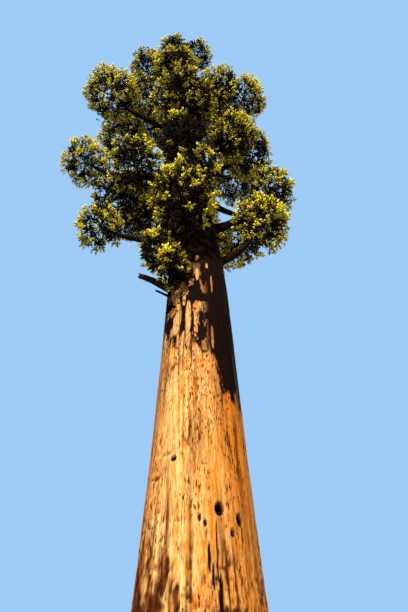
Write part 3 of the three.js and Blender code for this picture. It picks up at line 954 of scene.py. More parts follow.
def trunk_bark(low, high, sides, rings, depth):
    """A length of trunk with fluted, fibrous bark, and the attributes that colour it."""
    z = np.linspace(low, high, rings)[:, None] * np.ones((1, sides))
    angle = angles_round(rings, sides)
    base = trunk_radius(z, angle)
    patterns = bark_patterns(angle / (2 * math.pi), z)
    relief = sum(share * patterns[kind] for kind, share in RELIEF.items())
    scale = np.clip(base / FULL_RELIEF_RADIUS, LEAST_RELIEF, MOST_RELIEF)
    holes = mark_field(KNOTS, angle, z, base, HOLE_EDGE, "depth")
    tucked = TUCK_DEPTH * smoothstep(low + 2 * TRUNK_OVERLAP, low, z) if low > 0 else 0.0
    radius = base + depth * scale * relief - holes - tucked
    outward = np.stack([np.cos(angle), np.sin(angle), np.zeros_like(angle)], -1)
    points = trunk_axis(z) + outward * radius[..., None]
    return points, bark_attributes(angle, z, base, patterns)


# The limbs' bark

# Noise round a limb: cells round it and height of a cell, and for the clefts their width too
LIMB_SWAY, LIMB_LUMPS, LIMB_JAG = (5, 0.6), (4, 0.5), (9, 1.0)
LIMB_CLEFTS = (12, 0.7, 0.3)
LIMB_SWAY_SHARE, LUMP_SHARE = 0.05, 0.16
JAG_MIDDLE, JAG_START = 0.6, 0.75
LIMB_GRAIN_RADIUS = 0.2


def limb_bark(curve, radii, sides, seed, depth, broken=0.0):
    """A bough with shallow furrows, or a broken limb whose end is splintered."""
    rings = len(radii)
    shares = np.linspace(0, 1, rings)
    path = curve_points(curve, shares)
    ahead = unit(np.gradient(path, axis=0))
    side = np.empty_like(path)
    side[0] = side_of(ahead[0], 0)
    for ring in range(1, rings):
        side[ring] = unit(side[ring - 1] - (side[ring - 1] @ ahead[ring]) * ahead[ring])
    across = np.cross(ahead, side)
    angle = angles_round(rings, sides)
    along = shares[:, None] * curve_length(curve) * np.ones((1, sides))
    turn = angle / (2 * math.pi)
    spun = turn + LIMB_SWAY_SHARE * (streaks(turn, along, *LIMB_SWAY, seed) - 0.5)
    cleft = furrows(spun, along, *LIMB_CLEFTS, seed + 1)
    lumps = streaks(turn, along, *LIMB_LUMPS, seed + 2) - 0.5
    radius = radii[:, None] * (1 - depth * cleft + LUMP_SHARE * lumps)
    points = (
        path[:, None]
        + side[:, None] * (np.cos(angle) * radius)[..., None]
        + across[:, None] * (np.sin(angle) * radius)[..., None]
    )
    if broken:
        jag = streaks(turn, np.zeros_like(along), *LIMB_JAG, seed + 3) - JAG_MIDDLE
        near_end = smoothstep(JAG_START, 1.0, shares)[:, None]
        points = points + ahead[:, None] * (jag * near_end * broken)[..., None]
    grain = np.stack([np.cos(angle) * LIMB_GRAIN_RADIUS, np.sin(angle) * LIMB_GRAIN_RADIUS, along], -1)
    return points, {"cleft": cleft, "grain": grain}


def closed_rings(points):
    """The rings' points with the middle of each end, quads between the rings, and a fan over each end."""
    rings, sides = points.shape[:2]
    side, beside, last = np.arange(sides), following(sides), (rings - 1) * sides
    bottom = np.stack([beside, side, np.full(sides, rings * sides)], -1)
    top = np.stack([last + side, last + beside, np.full(sides, rings * sides + 1)], -1)
    placed = np.concatenate([points.reshape(-1, 3), [points[0].mean(0), points[-1].mean(0)]])
    return placed, ring_faces(rings, sides), np.concatenate([bottom, top])


def with_ends(values):
    """An attribute's values with one more for the middle of each end."""
    flat = values.reshape(values.shape[0] * values.shape[1], -1)
    both = np.concatenate([flat, flat[:1], flat[-1:]])
    return both[:, 0] if values.ndim == 2 else both


def mesh_of_limbs(name, limbs):
    """Several limbs of rings joined in one mesh, with their attributes."""
    points, quads, triangles, attributes, first = [], [], [], {}, 0
    for limb_points, limb_attributes in limbs:
        placed, ring_quads, fans = closed_rings(limb_points)
        points.append(placed)
        quads.append(ring_quads + first)
        triangles.append(fans + first)
        for key, values in limb_attributes.items():
            attributes.setdefault(key, []).append(with_ends(values))
        first += len(placed)
    faces = [np.concatenate(quads), np.concatenate(triangles)]
    mesh = mesh_from(name, np.concatenate(points), faces, smooth=True)
    for key, values in attributes.items():
        put_attribute(mesh, key, np.concatenate(values))
    return mesh


# Nodes, for the sprays and the finishes


def feed(tree, socket, value):
    """Link a socket to another, or set it to a plain value."""
    if isinstance(value, bpy.types.NodeSocket):
        tree.links.new(value, socket)
    else:
        socket.default_value = value


def add_node(tree, kind, inputs=None, **settings):
    """A node with its settings, and what goes into its inputs by their name or number."""
    node = tree.nodes.new(kind)
    for name, value in settings.items():
        setattr(node, name, value)
    for key, value in (inputs or {}).items():
        feed(tree, node.inputs[key], value)
    return node


def maths(tree, operation, first, second):
    return add_node(tree, "ShaderNodeMath", {0: first, 1: second}, operation=operation).outputs["Value"]


def new_group(name, kind, inputs, outputs):
    """A node group with named sockets of the given types, and its first and last node."""
    tree = bpy.data.node_groups.new(name, kind)
    for in_out, sockets in (("INPUT", inputs), ("OUTPUT", outputs)):
        for socket, socket_type in sockets.items():
            tree.interface.new_socket(socket, in_out=in_out, socket_type=f"NodeSocket{socket_type}")
    return tree, tree.nodes.new("NodeGroupInput"), tree.nodes.new("NodeGroupOutput")


# Sprays: a few shapes of one size, dealt out over the twigs by Geometry Nodes

SPRAY_SHAPES = 3
SPRAY_SEED = 500
SPRAY_SIZES = (0.8, 1.2)
LEAVES_PER_SPRAY = 6
LEAF_TURN, LEAF_ROLL = 0.6, 0.6
LEAF_LEAN, LEAN_POWER, LEAN_JITTER = (1.35, 0.15), 0.8, 0.15
LEAF_ROOT = (-0.28, 0.12)
LEAF_LENGTH = (0.55, 0.72)
LEAF_WIDTH = (0.8, 1.2)
LEAF_RIDGE = 0.45
TIP_LIFT = 0.07
LEAF_TRIANGLES = np.array([(0, 1, 2), (0, 3, 1), (0, 2, 3), (1, 3, 2)])
LEAF_POINTS = 4


def spray_mesh(name, shape, width):
    """A tuft of pointed, ridged leaves round a stalk that runs up +Z, one unit long."""
    random = seeded(SPRAY_SEED + shape)
    points = []
    for leaf in range(LEAVES_PER_SPRAY):
        share = leaf / (LEAVES_PER_SPRAY - 1)
        around = leaf * GOLDEN_ANGLE + random() * LEAF_TURN
        lean = lerp(*LEAF_LEAN, share**LEAN_POWER) + lerp(-LEAN_JITTER, LEAN_JITTER, random())
        out = math.sin(lean)
        ahead = np.array([out * math.cos(around), out * math.sin(around), math.cos(lean)])
        side = side_of(ahead, lerp(-LEAF_ROLL, LEAF_ROLL, random()))
        root = UP * lerp(*LEAF_ROOT, share)
        length = lerp(*LEAF_LENGTH, random())
        half = 0.5 * width * lerp(*LEAF_WIDTH, random())
        middle = root + ahead * length * 0.5 - np.cross(ahead, side) * half * LEAF_RIDGE
        tip = root + ahead * length + UP * TIP_LIFT
        points += [root, tip, middle + side * half, middle - side * half]
    triangles = np.arange(LEAVES_PER_SPRAY)[:, None, None] * LEAF_POINTS + LEAF_TRIANGLES
    return mesh_from(name, np.array(points), [triangles.reshape(-1, TRIANGLE)])


def euler_of(aims, rolls):
    """Euler angles that turn +Z to each aim, after a roll about it."""
    side = unit(level_side(aims, 1e-3))
    across = np.cross(aims, side)
    x_axis = side * np.cos(rolls)[:, None] + across * np.sin(rolls)[:, None]
    y_axis = np.cross(aims, x_axis)
    pitch = np.arcsin(np.clip(-x_axis[:, 2], -1, 1))
    return np.stack(
        [np.arctan2(y_axis[:, 2], aims[:, 2]), pitch, np.arctan2(x_axis[:, 1], x_axis[:, 0])], -1
    )


def spray_nodes():
    """Geometry Nodes that set one of the spray shapes on every point, turned and sized by it."""
    shape_inputs = {f"Spray {shape + 1}": "Object" for shape in range(SPRAY_SHAPES)}
    inputs = {"Geometry": "Geometry", **shape_inputs, "Spray Size": "Float", "Finish": "Material"}
    tree, given, result = new_group(
        "sprays_on_twigs", "GeometryNodeTree", inputs, {"Geometry": "Geometry"}
    )
    shapes = add_node(tree, "GeometryNodeJoinGeometry")
    for name in shape_inputs:
        picked = add_node(
            tree, "GeometryNodeObjectInfo", {"As Instance": True, "Object": given.outputs[name]}
        )
        feed(tree, shapes.inputs["Geometry"], picked.outputs["Geometry"])

    def stored(name, kind):
        node = add_node(tree, "GeometryNodeInputNamedAttribute", {"Name": name}, data_type=kind)
        return node.outputs["Attribute"]

    turned = add_node(tree, "FunctionNodeEulerToRotation", {"Euler": stored("turn", "FLOAT_VECTOR")})
    placing = {
        "Pick Instance": True,
        "Points": given.outputs["Geometry"],
        "Instance": shapes.outputs["Geometry"],
        "Instance Index": stored("shape", "INT"),
        "Rotation": turned.outputs["Rotation"],
        "Scale": maths(tree, "MULTIPLY", stored("size", "FLOAT"), given.outputs["Spray Size"]),
    }
    placed = add_node(tree, "GeometryNodeInstanceOnPoints", placing)
    realized = add_node(tree, "GeometryNodeRealizeInstances", {"Geometry": placed.outputs["Instances"]})
    finishing = {"Geometry": realized.outputs["Geometry"], "Material": given.outputs["Finish"]}
    finished = add_node(tree, "GeometryNodeSetMaterial", finishing)
    feed(tree, result.inputs["Geometry"], finished.outputs["Geometry"])
    return tree


def set_input(modifier, tree, name, value):
    for item in tree.interface.items_tree:
        if item.item_type == "SOCKET" and item.in_out == "INPUT" and item.name == name:
            modifier[item.identifier] = value
            return
    raise ValueError(f"{tree.name} has no input named {name}")


def sprays_on_points(name, sprays, tree, inputs):
    """The sprays of one colour as a plain mesh."""
    mesh = bpy.data.meshes.new(name)
    mesh.from_pydata([tuple(spray.tip) for spray in sprays], [], [])
    aims = np.array([spray.aim for spray in sprays])
    rolls = np.array([spray.roll * 2 * math.pi for spray in sprays])
    put_attribute(mesh, "turn", euler_of(aims, rolls))
    put_attribute(mesh, "size", np.array([lerp(*SPRAY_SIZES, spray.size) for spray in sprays]))
    shape = mesh.attributes.new("shape", "INT", "POINT")
    shape.data.foreach_set("value", [int(spray.pick * SPRAY_SHAPES) for spray in sprays])
    carrier = add_object(name, mesh)
    modifier = carrier.modifiers.new("sprays", "NODES")
    modifier.node_group = tree
    for key, value in inputs.items():
        set_input(modifier, tree, key, value)
    depsgraph = bpy.context.evaluated_depsgraph_get()
    plain = bpy.data.meshes.new_from_object(carrier.evaluated_get(depsgraph))
    carrier.modifiers.clear()
    bpy.data.objects.remove(carrier)
    for attribute in ("turn", "size", "shape"):
        if attribute in plain.attributes:
            plain.attributes.remove(plain.attributes[attribute])
    return plain


# Finishes

# The sockets of a colour mix node: both colours, and the mix
MIX_FIRST, MIX_SECOND, MIX_RESULT = 6, 7, 2

# Noise along a limb: scale, how far it is stretched along the grain, detail
FIBRE_NOISE = {
    "streaks": (15.0, 16.0, 4.0),
    "fine_streaks": (38.0, 7.0, 3.0),
    "patches": (1.6, 2.2, 3.0),
    "cracks": (34.0, 5.0, 2.0),
}

# Where each mask of the bark sets in and where it is full, and for cracks their least share too
STREAK_EDGES, PATCH_EDGES, CRACK_EDGES, CLEFT_EDGES = (0.42, 0.58), (0.35, 0.65), (0.55, 0.63), (0.1, 0.9)
CRACKED_PATCHES = (0.38, 0.52, 0.25)

# Blotches: scale, detail, and the edges of their mask
LEAF_BLOTCHES, TWIG_BLOTCHES = (9.0, 2.0, 0.4, 0.6), (7.0, 4.0, 0.35, 0.65)

# Colours as shares of another colour, for all of it or for its red, green and blue
REDDER = (0.84, 0.68, 0.6)
BROWNER = (1.2, 0.9, 0.7)
CRACK_SHADE = 0.3
CROWN_SHADE = 0.055

BARK_ROUGHNESS, BARK_SHINE, BARK_BUMP = 0.95, 0.06, 0.7
LEAF_ROUGHNESS, LEAF_SHINE = 0.7, 0.08
TWIG_ROUGHNESS, TWIG_SHINE = 0.85, 0.06


def tinted(colour, *shares):
    """A colour multiplied by one share, or by one for each of red, green and blue."""
    return tuple(part * share for part, share in zip(colour, shares * 3))


def new_material(name, roughness, shine):
    material = bpy.data.materials.new(name)
    material.use_nodes = True
    shader = material.node_tree.nodes["Principled BSDF"]
    shader.inputs["Roughness"].default_value = roughness
    shader.inputs["Specular IOR Level"].default_value = shine
    return material, material.node_tree, shader


def colour_mix(tree, mask, first, second):
    """A mix of two colours by a mask; each colour is a value or a socket."""
    mix = add_node(tree, "ShaderNodeMix", {"Factor": mask}, data_type="RGBA")
    for key, colour in ((MIX_FIRST, first), (MIX_SECOND, second)):
        plain = not isinstance(colour, bpy.types.NodeSocket)
        feed(tree, mix.inputs[key], (*colour, 1.0) if plain else colour)
    return mix.outputs[MIX_RESULT]


def ranged(tree, value, low, high, to_low=0.0, to_high=1.0):
    ends = {"From Min": low, "From Max": high, "To Min": to_low, "To Max": to_high}
    return add_node(tree, "ShaderNodeMapRange", {"Value": value, **ends}).outputs["Result"]


def fibre_noise(tree, vector, kind):
    """One kind of noise on a vector that is first stretched along Z."""
    scale, stretch, detail = FIBRE_NOISE[kind]
    mapping = add_node(
        tree, "ShaderNodeMapping", {"Scale": (scale, scale, scale / stretch), "Vector": vector}
    )
    inputs = {"Scale": 1.0, "Detail": detail, "Vector": mapping.outputs["Vector"]}
    return add_node(tree, "ShaderNodeTexNoise", inputs).outputs["Fac"]


@lru_cache(maxsize=1)
def fibre_group():
    """Fibrous wood or bark along a limb: streaks, broad patches, cracks and a height for a bump."""
    inputs = {"Grain": "Vector", "Fineness": "Float"}
    outputs = dict.fromkeys(("Streaks", "Patches", "Cracks", "Height"), "Float")
    tree, given, result = new_group("fibres_along_limb", "ShaderNodeTree", inputs, outputs)
    scaling = {0: given.outputs["Grain"], "Scale": given.outputs["Fineness"]}
    vector = add_node(tree, "ShaderNodeVectorMath", scaling, operation="SCALE").outputs["Vector"]
    noise = {kind: fibre_noise(tree, vector, kind) for kind in FIBRE_NOISE}
    height = maths(tree, "MULTIPLY", maths(tree, "ADD", noise["streaks"], noise["fine_streaks"]), 0.5)
    cracks = ranged(tree, noise["cracks"], *CRACK_EDGES)
    cracked = ranged(tree, noise["patches"], *CRACKED_PATCHES)
    feed(tree, result.inputs["Streaks"], ranged(tree, height, *STREAK_EDGES))
    feed(tree, result.inputs["Patches"], ranged(tree, noise["patches"], *PATCH_EDGES))
    feed(tree, result.inputs["Cracks"], maths(tree, "MULTIPLY", cracks, cracked))
    feed(tree, result.inputs["Height"], height)
    return tree


@lru_cache(maxsize=1)
def mottling_group():
    """Soft blotches from one place to the next, as a mask."""
    inputs = {"Place": "Vector", "Scale": "Float", "Detail": "Float", "Low": "Float", "High": "Float"}
    tree, given, result = new_group("mottling", "ShaderNodeTree", inputs, {"Mask": "Float"})
    placing = {"Vector": given.outputs["Place"], "Scale": given.outputs["Scale"]}
    noise = add_node(tree, "ShaderNodeTexNoise", {**placing, "Detail": given.outputs["Detail"]})
    mask = ranged(tree, noise.outputs["Fac"], given.outputs["Low"], given.outputs["High"])
    feed(tree, result.inputs["Mask"], mask)
    return tree


def mottled(tree, first, second, scale, detail, low=0.0, high=1.0):
    """Two colours in soft blotches."""
    place = add_node(tree, "ShaderNodeTexCoord").outputs["Object"]
    group = add_node(tree, "ShaderNodeGroup", node_tree=mottling_group())
    for name, value in zip(("Place", "Scale", "Detail", "Low", "High"), (place, scale, detail, low, high)):
        feed(tree, group.inputs[name], value)
    return colour_mix(tree, group.outputs["Mask"], first, second)


def bark_material(name, ridge, fibre, cleft, near_black, fineness, bump):
    """Fibrous bark: pale fibres and warm ridges by the grain, the fibres paler on the lit side as a painted
    highlight;
    dark in the clefts, partly as painted shade; near black in holes and cracks as painted shade and in dark
    patches;
    and the crown's painted shadow.
    """
    material, tree, shader = new_material(name, BARK_ROUGHNESS, BARK_SHINE)

    def attribute(kind, output="Fac"):
        return add_node(tree, "ShaderNodeAttribute", attribute_name=kind).outputs[output]

    fibres = add_node(tree, "ShaderNodeGroup", node_tree=fibre_group())
    feed(tree, fibres.inputs["Fineness"], fineness)
    feed(tree, fibres.inputs["Grain"], attribute("grain", "Vector"))
    streaked = fibres.outputs["Streaks"]
    # Pale fibres, stronger towards the lit side as a painted highlight
    if near_black:
        streaked = maths(tree, "MULTIPLY", streaked, attribute("bleached"))
    colour = colour_mix(tree, fibres.outputs["Patches"], ridge, tinted(ridge, *REDDER))
    colour = colour_mix(tree, streaked, colour, fibre)
    colour = colour_mix(tree, ranged(tree, attribute("cleft"), *CLEFT_EDGES), colour, cleft)
    colour = colour_mix(tree, fibres.outputs["Cracks"], colour, tinted(cleft, CRACK_SHADE))
    if near_black:
        # The crown's painted shadow: near black to a darkened cleft colour by the streaks, where the shade
        # attribute says
        dark = colour_mix(tree, fibres.outputs["Streaks"], near_black, tinted(cleft, CROWN_SHADE))
        colour = colour_mix(tree, attribute("shade"), colour, dark)
        # Near black in the dark patches at the foot, and as painted shade in holes and cracks
        colour = colour_mix(tree, attribute("char"), colour, near_black)
    feed(tree, shader.inputs["Base Color"], colour)
    raising = {"Strength": BARK_BUMP, "Distance": bump, "Height": fibres.outputs["Height"]}
    height = add_node(tree, "ShaderNodeBump", raising)
    feed(tree, shader.inputs["Normal"], height.outputs["Normal"])
    return material


def foliage_material(name, colour):
    """Scale leaves: one green, a little browner here and there."""
    material, tree, shader = new_material(name, LEAF_ROUGHNESS, LEAF_SHINE)
    green = mottled(tree, colour, tinted(colour, *BROWNER), *LEAF_BLOTCHES)
    feed(tree, shader.inputs["Base Color"], green)
    return material


def twig_material(name, colour, shade):
    material, tree, shader = new_material(name, TWIG_ROUGHNESS, TWIG_SHINE)
    feed(tree, shader.inputs["Base Color"], mottled(tree, colour, shade, *TWIG_BLOTCHES))
    return material


# Sizes and colours to change


def number_property(name, description, default, low, high, **kind):
    return bpy.props.FloatProperty(
        name=name, description=description, default=default, min=low, max=high, **kind
    )


def colour_property(name, description, default):
    return bpy.props.FloatVectorProperty(
        name=name, description=description, subtype="COLOR", size=3, min=0, max=1, default=default
    )


class SequoiaBark(bpy.types.PropertyGroup):
    furrow_depth: number_property(
        "Furrow Depth", "Depth of the trunk's widest furrows", 0.05, 0.0, 0.2, unit="LENGTH"
    )
    ridge: colour_property("Ridge", "Warm colour of the bark's ridges", (0.56, 0.185, 0.014))
    fibre: colour_property("Fibre", "Pale colour of weathered fibres", (0.74, 0.53, 0.21))
    # The clefts' colour is partly the bark's own darker colour and partly painted shade in the recesses
    cleft: colour_property("Cleft", "Dark colour in the clefts", (0.12, 0.03, 0.007))
    # Near black: the darkest dark patches at the foot, the painted shade in holes and cracks, and part of
    # the crown's painted shadow
    near_black: colour_property("Burnt", "Colour of scorched bark and of holes", (0.004, 0.0015, 0.0008))
    # Near black, as painted shade on boughs that stand in the crown's shade
    bough: colour_property("Bough", "Colour of the boughs' bark", (0.012, 0.005, 0.003))
    dead: colour_property("Dead Wood", "Colour of the broken limbs", (0.02, 0.011, 0.008))


class SequoiaFoliage(bpy.types.PropertyGroup):
    spray_size: number_property(
        "Spray Size", "Length of one spray of scale leaves", 0.235, 0.05, 1.0, unit="LENGTH"
    )
    leaf_width: number_property(
        "Leaf Width", "Width of a leaf as a share of the spray's length", 0.3, 0.02, 1.0, subtype="FACTOR"
    )
    # Sunlit is painted sunlight on the outer and upturned sprays; deep and inner are painted shade further
    # in
    sunlit: colour_property("Sunlit", "Colour of the outermost sprays", (0.66, 0.65, 0.035))
    olive: colour_property("Olive", "Colour of most sprays", (0.30, 0.285, 0.012))
    deep: colour_property("Deep", "Colour of sprays further in", (0.032, 0.026, 0.004))
    inner: colour_property("Inner", "Colour of the shaded inner sprays", (0.005, 0.003, 0.002))
    # Near black, as painted shade in the gaps between the sprays
    twig: colour_property("Twig", "Colour of the twigs", (0.015, 0.007, 0.004))


class SequoiaStage(bpy.types.PropertyGroup):
    floor: colour_property("Floor", "Colour of the plain floor", (0.80, 0.80, 0.78))
    floor_bounce: number_property(
        "Floor Bounce",
        "Share of its own light that the floor throws back on the tree",
        0.35,
        0.0,
        1.0,
        subtype="FACTOR",
    )
    backdrop: colour_property("Backdrop", "Colour seen behind the tree", (0.34, 0.60, 0.92))
    fill: colour_property("Fill", "Colour of the light from all round", (0.72, 0.84, 1.0))
    fill_strength: number_property("Fill Strength", "Strength of the light from all round", 0.05, 0.0, 5.0)
    key_strength: number_property("Key", "Strength of the soft key light", 7.3, 0.0, 20.0)
    back_strength: number_property("Back", "Strength of the soft light from behind", 2.4, 0.0, 20.0)
    key_softness: number_property(
        "Key Softness",
        "Angle that the key light seems to fill",
        math.radians(3),
        0.0,
        math.pi / 2,
        subtype="ANGLE",
    )
    lens: number_property("Lens", "Focal length of the camera", 24.0, 10.0, 200.0, unit="CAMERA")


# Operators

# The trunk's lengths: the height where each starts and ends, sides round it, rings up it
TRUNK_LENGTHS = {
    "foot": (0.0, FOOT_TOP, 480, 204),
    "middle": (FOOT_TOP - TRUNK_OVERLAP, LOWER_TRUNK_TOP, 480, 204),
    "upper": (LOWER_TRUNK_TOP - TRUNK_OVERLAP, TRUNK_TIP, 220, 200),
}
TRUNK_FINENESS, TRUNK_BUMP = 1.0, 0.03


@dataclass(frozen=True)
class LimbLook:
    """How a kind of limb is dressed: sides and rings of its mesh, seed of the first and step to the
    next, depth of its clefts, fineness and bump of the grain, and how pale its fibres and how dark
    its clefts are for its colour.
    """

    sides: int
    rings: int
    seed: int
    seed_step: int
    furrows: float
    fineness: float
    bump: float
    pale: float
    dark: float

    def finish(self, name, colour):
        # Clefts are painted darker than the bark, partly as painted shade in the recesses
        pale, dark = tinted(colour, self.pale), tinted(colour, self.dark)
        return bark_material(name, colour, pale, dark, None, self.fineness, self.bump)

    def limb(self, index, curve, root, tip, broken=0.0):
        radii = limb_radii(curve, root, tip, np.linspace(0, 1, self.rings))
        seed = self.seed + self.seed_step * index
        return limb_bark(curve, radii, self.sides, seed, self.furrows, broken)


BOUGH_LOOK = LimbLook(18, 42, 100, 7, 0.12, 1.6, 0.012, 1.5, 0.25)
DEAD_LOOK = LimbLook(22, 40, 300, 9, 0.2, 2.2, 0.01, 1.6, 0.3)
SPLINTER_LENGTH = 2.2

FOLIAGE_NODES = [f"foliage_{mass.name}" for mass in MASSES]
TWIG_SIDES = {"branches": 6, "twigs": 3, "stalks": 3}
TWIG_SHADE = 0.4

# The greens from the darkest up, how light a spray must be for each after the first, and what
# makes it lighter besides its depth: an upturned aim, its clump's tone and a draw of its own.
# Depth and aim paint sunlight and shade into the greens, lighter outside and aimed up, darker
# inside; the tone and the draw vary at random.
GREENS = ("inner", "deep", "olive", "sunlit")
GREEN_STEPS = (0.73, 0.83, 0.925)
AIM_SHARE, TONE_SHARE, PICK_SHARE, PICK_SPREAD = 0.05, 0.34, 0.16, 7
MOST_TRIANGLES = 199000


# Lighter further out in its mass, near the top and aimed up, as painted light; darker further in, as painted
# shade; the tone and the draw vary at random
def light_of(spray):
    own = spray.pick * PICK_SPREAD % 1 - 0.5
    aimed = spray.depth + spray.mass.lighter + AIM_SHARE * spray.aim[2]
    return aimed + TONE_SHARE * (spray.tone - 0.5) + PICK_SHARE * own


class SequoiaOperator(bpy.types.Operator):
    bl_options = {"REGISTER", "UNDO"}


class SEQUOIA_OT_trunk(SequoiaOperator):
    """Make the trunk's furrowed bark"""

    bl_idname = "sequoia.trunk"
    bl_label = "Trunk Bark"

    def execute(self, context):
        look = context.scene.sequoia_bark
        colours = (look.ridge, look.fibre, look.cleft, look.near_black)
        finish = bark_material("trunk_bark", *colours, TRUNK_FINENESS, TRUNK_BUMP)
        for name, (low, high, sides, rings) in TRUNK_LENGTHS.items():
            name = f"trunk_bark_{name}"
            length = trunk_bark(low, high, sides, rings, look.furrow_depth)
            add_piece(name, mesh_of_limbs(name, [length]), finish, ["trunk"])
        return {"FINISHED"}


class SEQUOIA_OT_boughs(SequoiaOperator):
    """Make the boughs' bark"""

    bl_idname = "sequoia.boughs"
    bl_label = "Boughs"

    def execute(self, context):
        finish = BOUGH_LOOK.finish("bough_bark", context.scene.sequoia_bark.bough)
        limbs, nodes = [], []
        for index, mass in enumerate(MASSES):
            if mass.leaves:
                tip = mass.root * BOUGH_TIP_SHARE
                limbs.append(BOUGH_LOOK.limb(index, bough_curve(mass), mass.root, tip))
                nodes.append(f"bough_{mass.name}")
        add_piece("boughs_bark", mesh_of_limbs("boughs_bark", limbs), finish, nodes)
        return {"FINISHED"}


class SEQUOIA_OT_dead_limbs(SequoiaOperator):
    """Make the broken dead limbs"""

    bl_idname = "sequoia.dead_limbs"
    bl_label = "Dead Limbs"

    def execute(self, context):
        finish = DEAD_LOOK.finish("dead_wood", context.scene.sequoia_bark.dead)
        for index, limb in enumerate(DEAD_LIMBS):
            splinters = SPLINTER_LENGTH * limb.tip
            made = DEAD_LOOK.limb(index, dead_curve(limb), limb.root, limb.tip, splinters)
            mesh = mesh_of_limbs(limb.name, [made])
            add_piece(f"{limb.name}_wood", mesh, finish, [limb.name])
        return {"FINISHED"}


class SEQUOIA_OT_twigs(SequoiaOperator):
    """Grow the branches, twigs and stalks inside the masses"""

    bl_idname = "sequoia.twigs"
    bl_label = "Twigs"

    def execute(self, context):
        look = context.scene.sequoia_foliage
        finish = twig_material("twig_bark", look.twig, tinted(look.twig, TWIG_SHADE))
        for name, sides in TWIG_SIDES.items():
            paths, radii = zip(*getattr(crown(), name))
            points, faces = joined_tubes(np.array(paths), np.array(radii), sides)
            mesh = mesh_from(name, points, faces, smooth=name == "branches")
            add_piece(name, mesh, finish, FOLIAGE_NODES)
        return {"FINISHED"}


class SEQUOIA_OT_foliage(SequoiaOperator):
    """Set sprays of scale leaves on the twigs"""

    bl_idname = "sequoia.foliage"
    bl_label = "Foliage"

    def execute(self, context):
        look = context.scene.sequoia_foliage
        tree = spray_nodes()
        sources = []
        for shape in range(SPRAY_SHAPES):
            name = f"spray_shape_{shape}"
            sources.append(add_object(name, spray_mesh(name, shape, look.leaf_width)))
        inputs = {f"Spray {shape + 1}": source for shape, source in enumerate(sources)}
        inputs["Spray Size"] = look.spray_size
        dealt = [[] for _ in GREENS]
        for spray in crown().sprays:
            dealt[np.searchsorted(GREEN_STEPS, light_of(spray))].append(spray)
        most = MOST_TRIANGLES // (len(LEAF_TRIANGLES) * LEAVES_PER_SPRAY)
        for name, sprays in zip(GREENS, dealt):
            finish = foliage_material(f"foliage_{name}", getattr(look, name))
            parts = max(1, math.ceil(len(sprays) / most))
            for part in range(parts):
                piece = f"sprays_{name}_{part + 1}"
                mesh = sprays_on_points(piece, sprays[part::parts], tree, {**inputs, "Finish": finish})
                add_piece(piece, mesh, finish, FOLIAGE_NODES)
        for source in sources:
            bpy.data.objects.remove(source)
        return {"FINISHED"}


CAMERA_AT = (0.235, -9.4, 0.8)
CAMERA_PITCH = math.radians(48)
CAMERA_ROLL = math.radians(1.5)
SENSOR_WIDTH = 36.0
VIEW_END = 2000.0
KEY_FROM = (-0.16, -1.0, 0.7)
BACK_FROM = (0.55, 1.0, 0.55)
BACK_SOFTER = 4
LAMP_COLOUR = (1.0, 0.93, 0.82)
LAMP_DISTANCE = 60
FLOOR_REACH, FLOOR_CORNERS, FLOOR_HEIGHT = 400.0, 48, -0.004
FLOOR_ROUGHNESS, FLOOR_SHINE = 0.95, 0.5
FLOOR_BLOTCHES, FLOOR_DARKER = (0.4, 3.0), 0.97


def stand(thing, x_axis, y_axis, z_axis, at):
    """Turn a lamp or a camera to three axes, and put it in its place."""
    turn = Matrix((x_axis, y_axis, z_axis)).transposed().to_4x4()
    turn.translation = at
    thing.matrix_world = turn


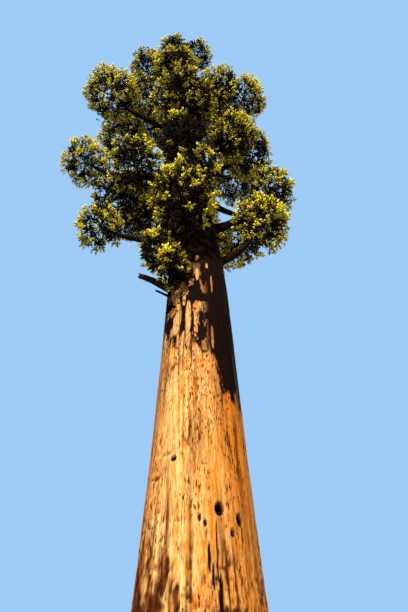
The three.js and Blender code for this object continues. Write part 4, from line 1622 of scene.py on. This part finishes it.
class SEQUOIA_OT_stage(SequoiaOperator):
    """Make the floor, the lights and the camera"""

    bl_idname = "sequoia.stage"
    bl_label = "Stage"

    def execute(self, context):
        look = context.scene.sequoia_stage
        self.make_floor(look)
        self.make_surroundings(context, look)
        self.make_lamp("key", KEY_FROM, look.key_strength, look.key_softness)
        self.make_lamp("back", BACK_FROM, look.back_strength, look.key_softness * BACK_SOFTER)
        self.make_camera(context, look)
        context.scene.view_settings.view_transform = "Standard"
        return {"FINISHED"}

    def make_floor(self, look):
        turn = np.arange(FLOOR_CORNERS) * 2 * math.pi / FLOOR_CORNERS
        height = np.full(FLOOR_CORNERS, FLOOR_HEIGHT)
        edge = np.stack([np.cos(turn) * FLOOR_REACH, np.sin(turn) * FLOOR_REACH, height], -1)
        mesh = mesh_from("floor", edge, [np.arange(FLOOR_CORNERS)[None]])
        material, tree, shader = new_material("floor", FLOOR_ROUGHNESS, FLOOR_SHINE)
        seen = mottled(tree, look.floor, tinted(look.floor, FLOOR_DARKER), *FLOOR_BLOTCHES)
        by_camera = add_node(tree, "ShaderNodeLightPath").outputs["Is Camera Ray"]
        shown = colour_mix(tree, by_camera, tinted(look.floor, look.floor_bounce), seen)
        feed(tree, shader.inputs["Base Color"], shown)
        mesh.materials.append(material)
        add_object("floor", mesh)

    def make_surroundings(self, context, look):
        world = bpy.data.worlds.new("surroundings")
        context.scene.world = world
        world.use_nodes = True
        tree = world.node_tree
        backdrop = tree.nodes["Background"]
        feed(tree, backdrop.inputs["Color"], (*look.backdrop, 1.0))
        filling = {"Color": (*look.fill, 1.0), "Strength": look.fill_strength}
        fill = add_node(tree, "ShaderNodeBackground", filling)
        by_camera = add_node(tree, "ShaderNodeLightPath").outputs["Is Camera Ray"]
        mixing = {"Fac": by_camera, 1: fill.outputs["Background"], 2: backdrop.outputs["Background"]}
        shown = add_node(tree, "ShaderNodeMixShader", mixing)
        feed(tree, tree.nodes["World Output"].inputs["Surface"], shown.outputs["Shader"])

    def make_lamp(self, name, shines_from, strength, softness):
        light = bpy.data.lights.new(name, "SUN")
        light.energy = strength
        light.angle = softness
        light.color = LAMP_COLOUR
        z_axis = unit(shines_from)
        x_axis = unit(np.cross(UP, z_axis))
        at = (z_axis * LAMP_DISTANCE).tolist()
        stand(add_object(name, light), x_axis, np.cross(z_axis, x_axis), z_axis, at)

    def make_camera(self, context, look):
        camera = bpy.data.cameras.new("camera")
        camera.lens = look.lens
        camera.sensor_width = SENSOR_WIDTH
        camera.clip_end = VIEW_END
        forward = np.array([0.0, math.cos(CAMERA_PITCH), math.sin(CAMERA_PITCH)])
        upward = np.array([0.0, -math.sin(CAMERA_PITCH), math.cos(CAMERA_PITCH)])
        right = np.array([1.0, 0.0, 0.0])
        x_axis = right * math.cos(CAMERA_ROLL) - upward * math.sin(CAMERA_ROLL)
        y_axis = right * math.sin(CAMERA_ROLL) + upward * math.cos(CAMERA_ROLL)
        eye = add_object("camera", camera)
        stand(eye, x_axis, y_axis, -forward, CAMERA_AT)
        context.scene.camera = eye


class SEQUOIA_PT_panel(bpy.types.Panel):
    """The sequoia's pieces in the 3D view's sidebar"""

    bl_idname = "SEQUOIA_PT_panel"
    bl_label = "Giant Sequoia"
    bl_space_type = "VIEW_3D"
    bl_region_type = "UI"
    bl_category = "Sequoia"

    def draw(self, context):
        layout = self.layout
        for operator in OPERATORS:
            layout.operator(operator.bl_idname)
        for group in GROUPS:
            box = layout.box()
            settings = getattr(context.scene, group)
            for name in settings.__annotations__:
                box.prop(settings, name)


OPERATORS = (
    SEQUOIA_OT_trunk,
    SEQUOIA_OT_boughs,
    SEQUOIA_OT_dead_limbs,
    SEQUOIA_OT_twigs,
    SEQUOIA_OT_foliage,
    SEQUOIA_OT_stage,
)
GROUPS = {
    "sequoia_bark": SequoiaBark,
    "sequoia_foliage": SequoiaFoliage,
    "sequoia_stage": SequoiaStage,
}
CLASSES = (*GROUPS.values(), *OPERATORS, SEQUOIA_PT_panel)


def register():
    for kind in CLASSES:
        bpy.utils.register_class(kind)
    for name, group in GROUPS.items():
        setattr(bpy.types.Scene, name, bpy.props.PointerProperty(type=group))


def unregister():
    for name in GROUPS:
        delattr(bpy.types.Scene, name)
    for kind in reversed(CLASSES):
        bpy.utils.unregister_class(kind)


def main():
    register()
    bpy.ops.sequoia.trunk()
    bpy.ops.sequoia.boughs()
    bpy.ops.sequoia.dead_limbs()
    bpy.ops.sequoia.twigs()
    bpy.ops.sequoia.foliage()
    bpy.ops.sequoia.stage()


if __name__ == "__main__":
    main()
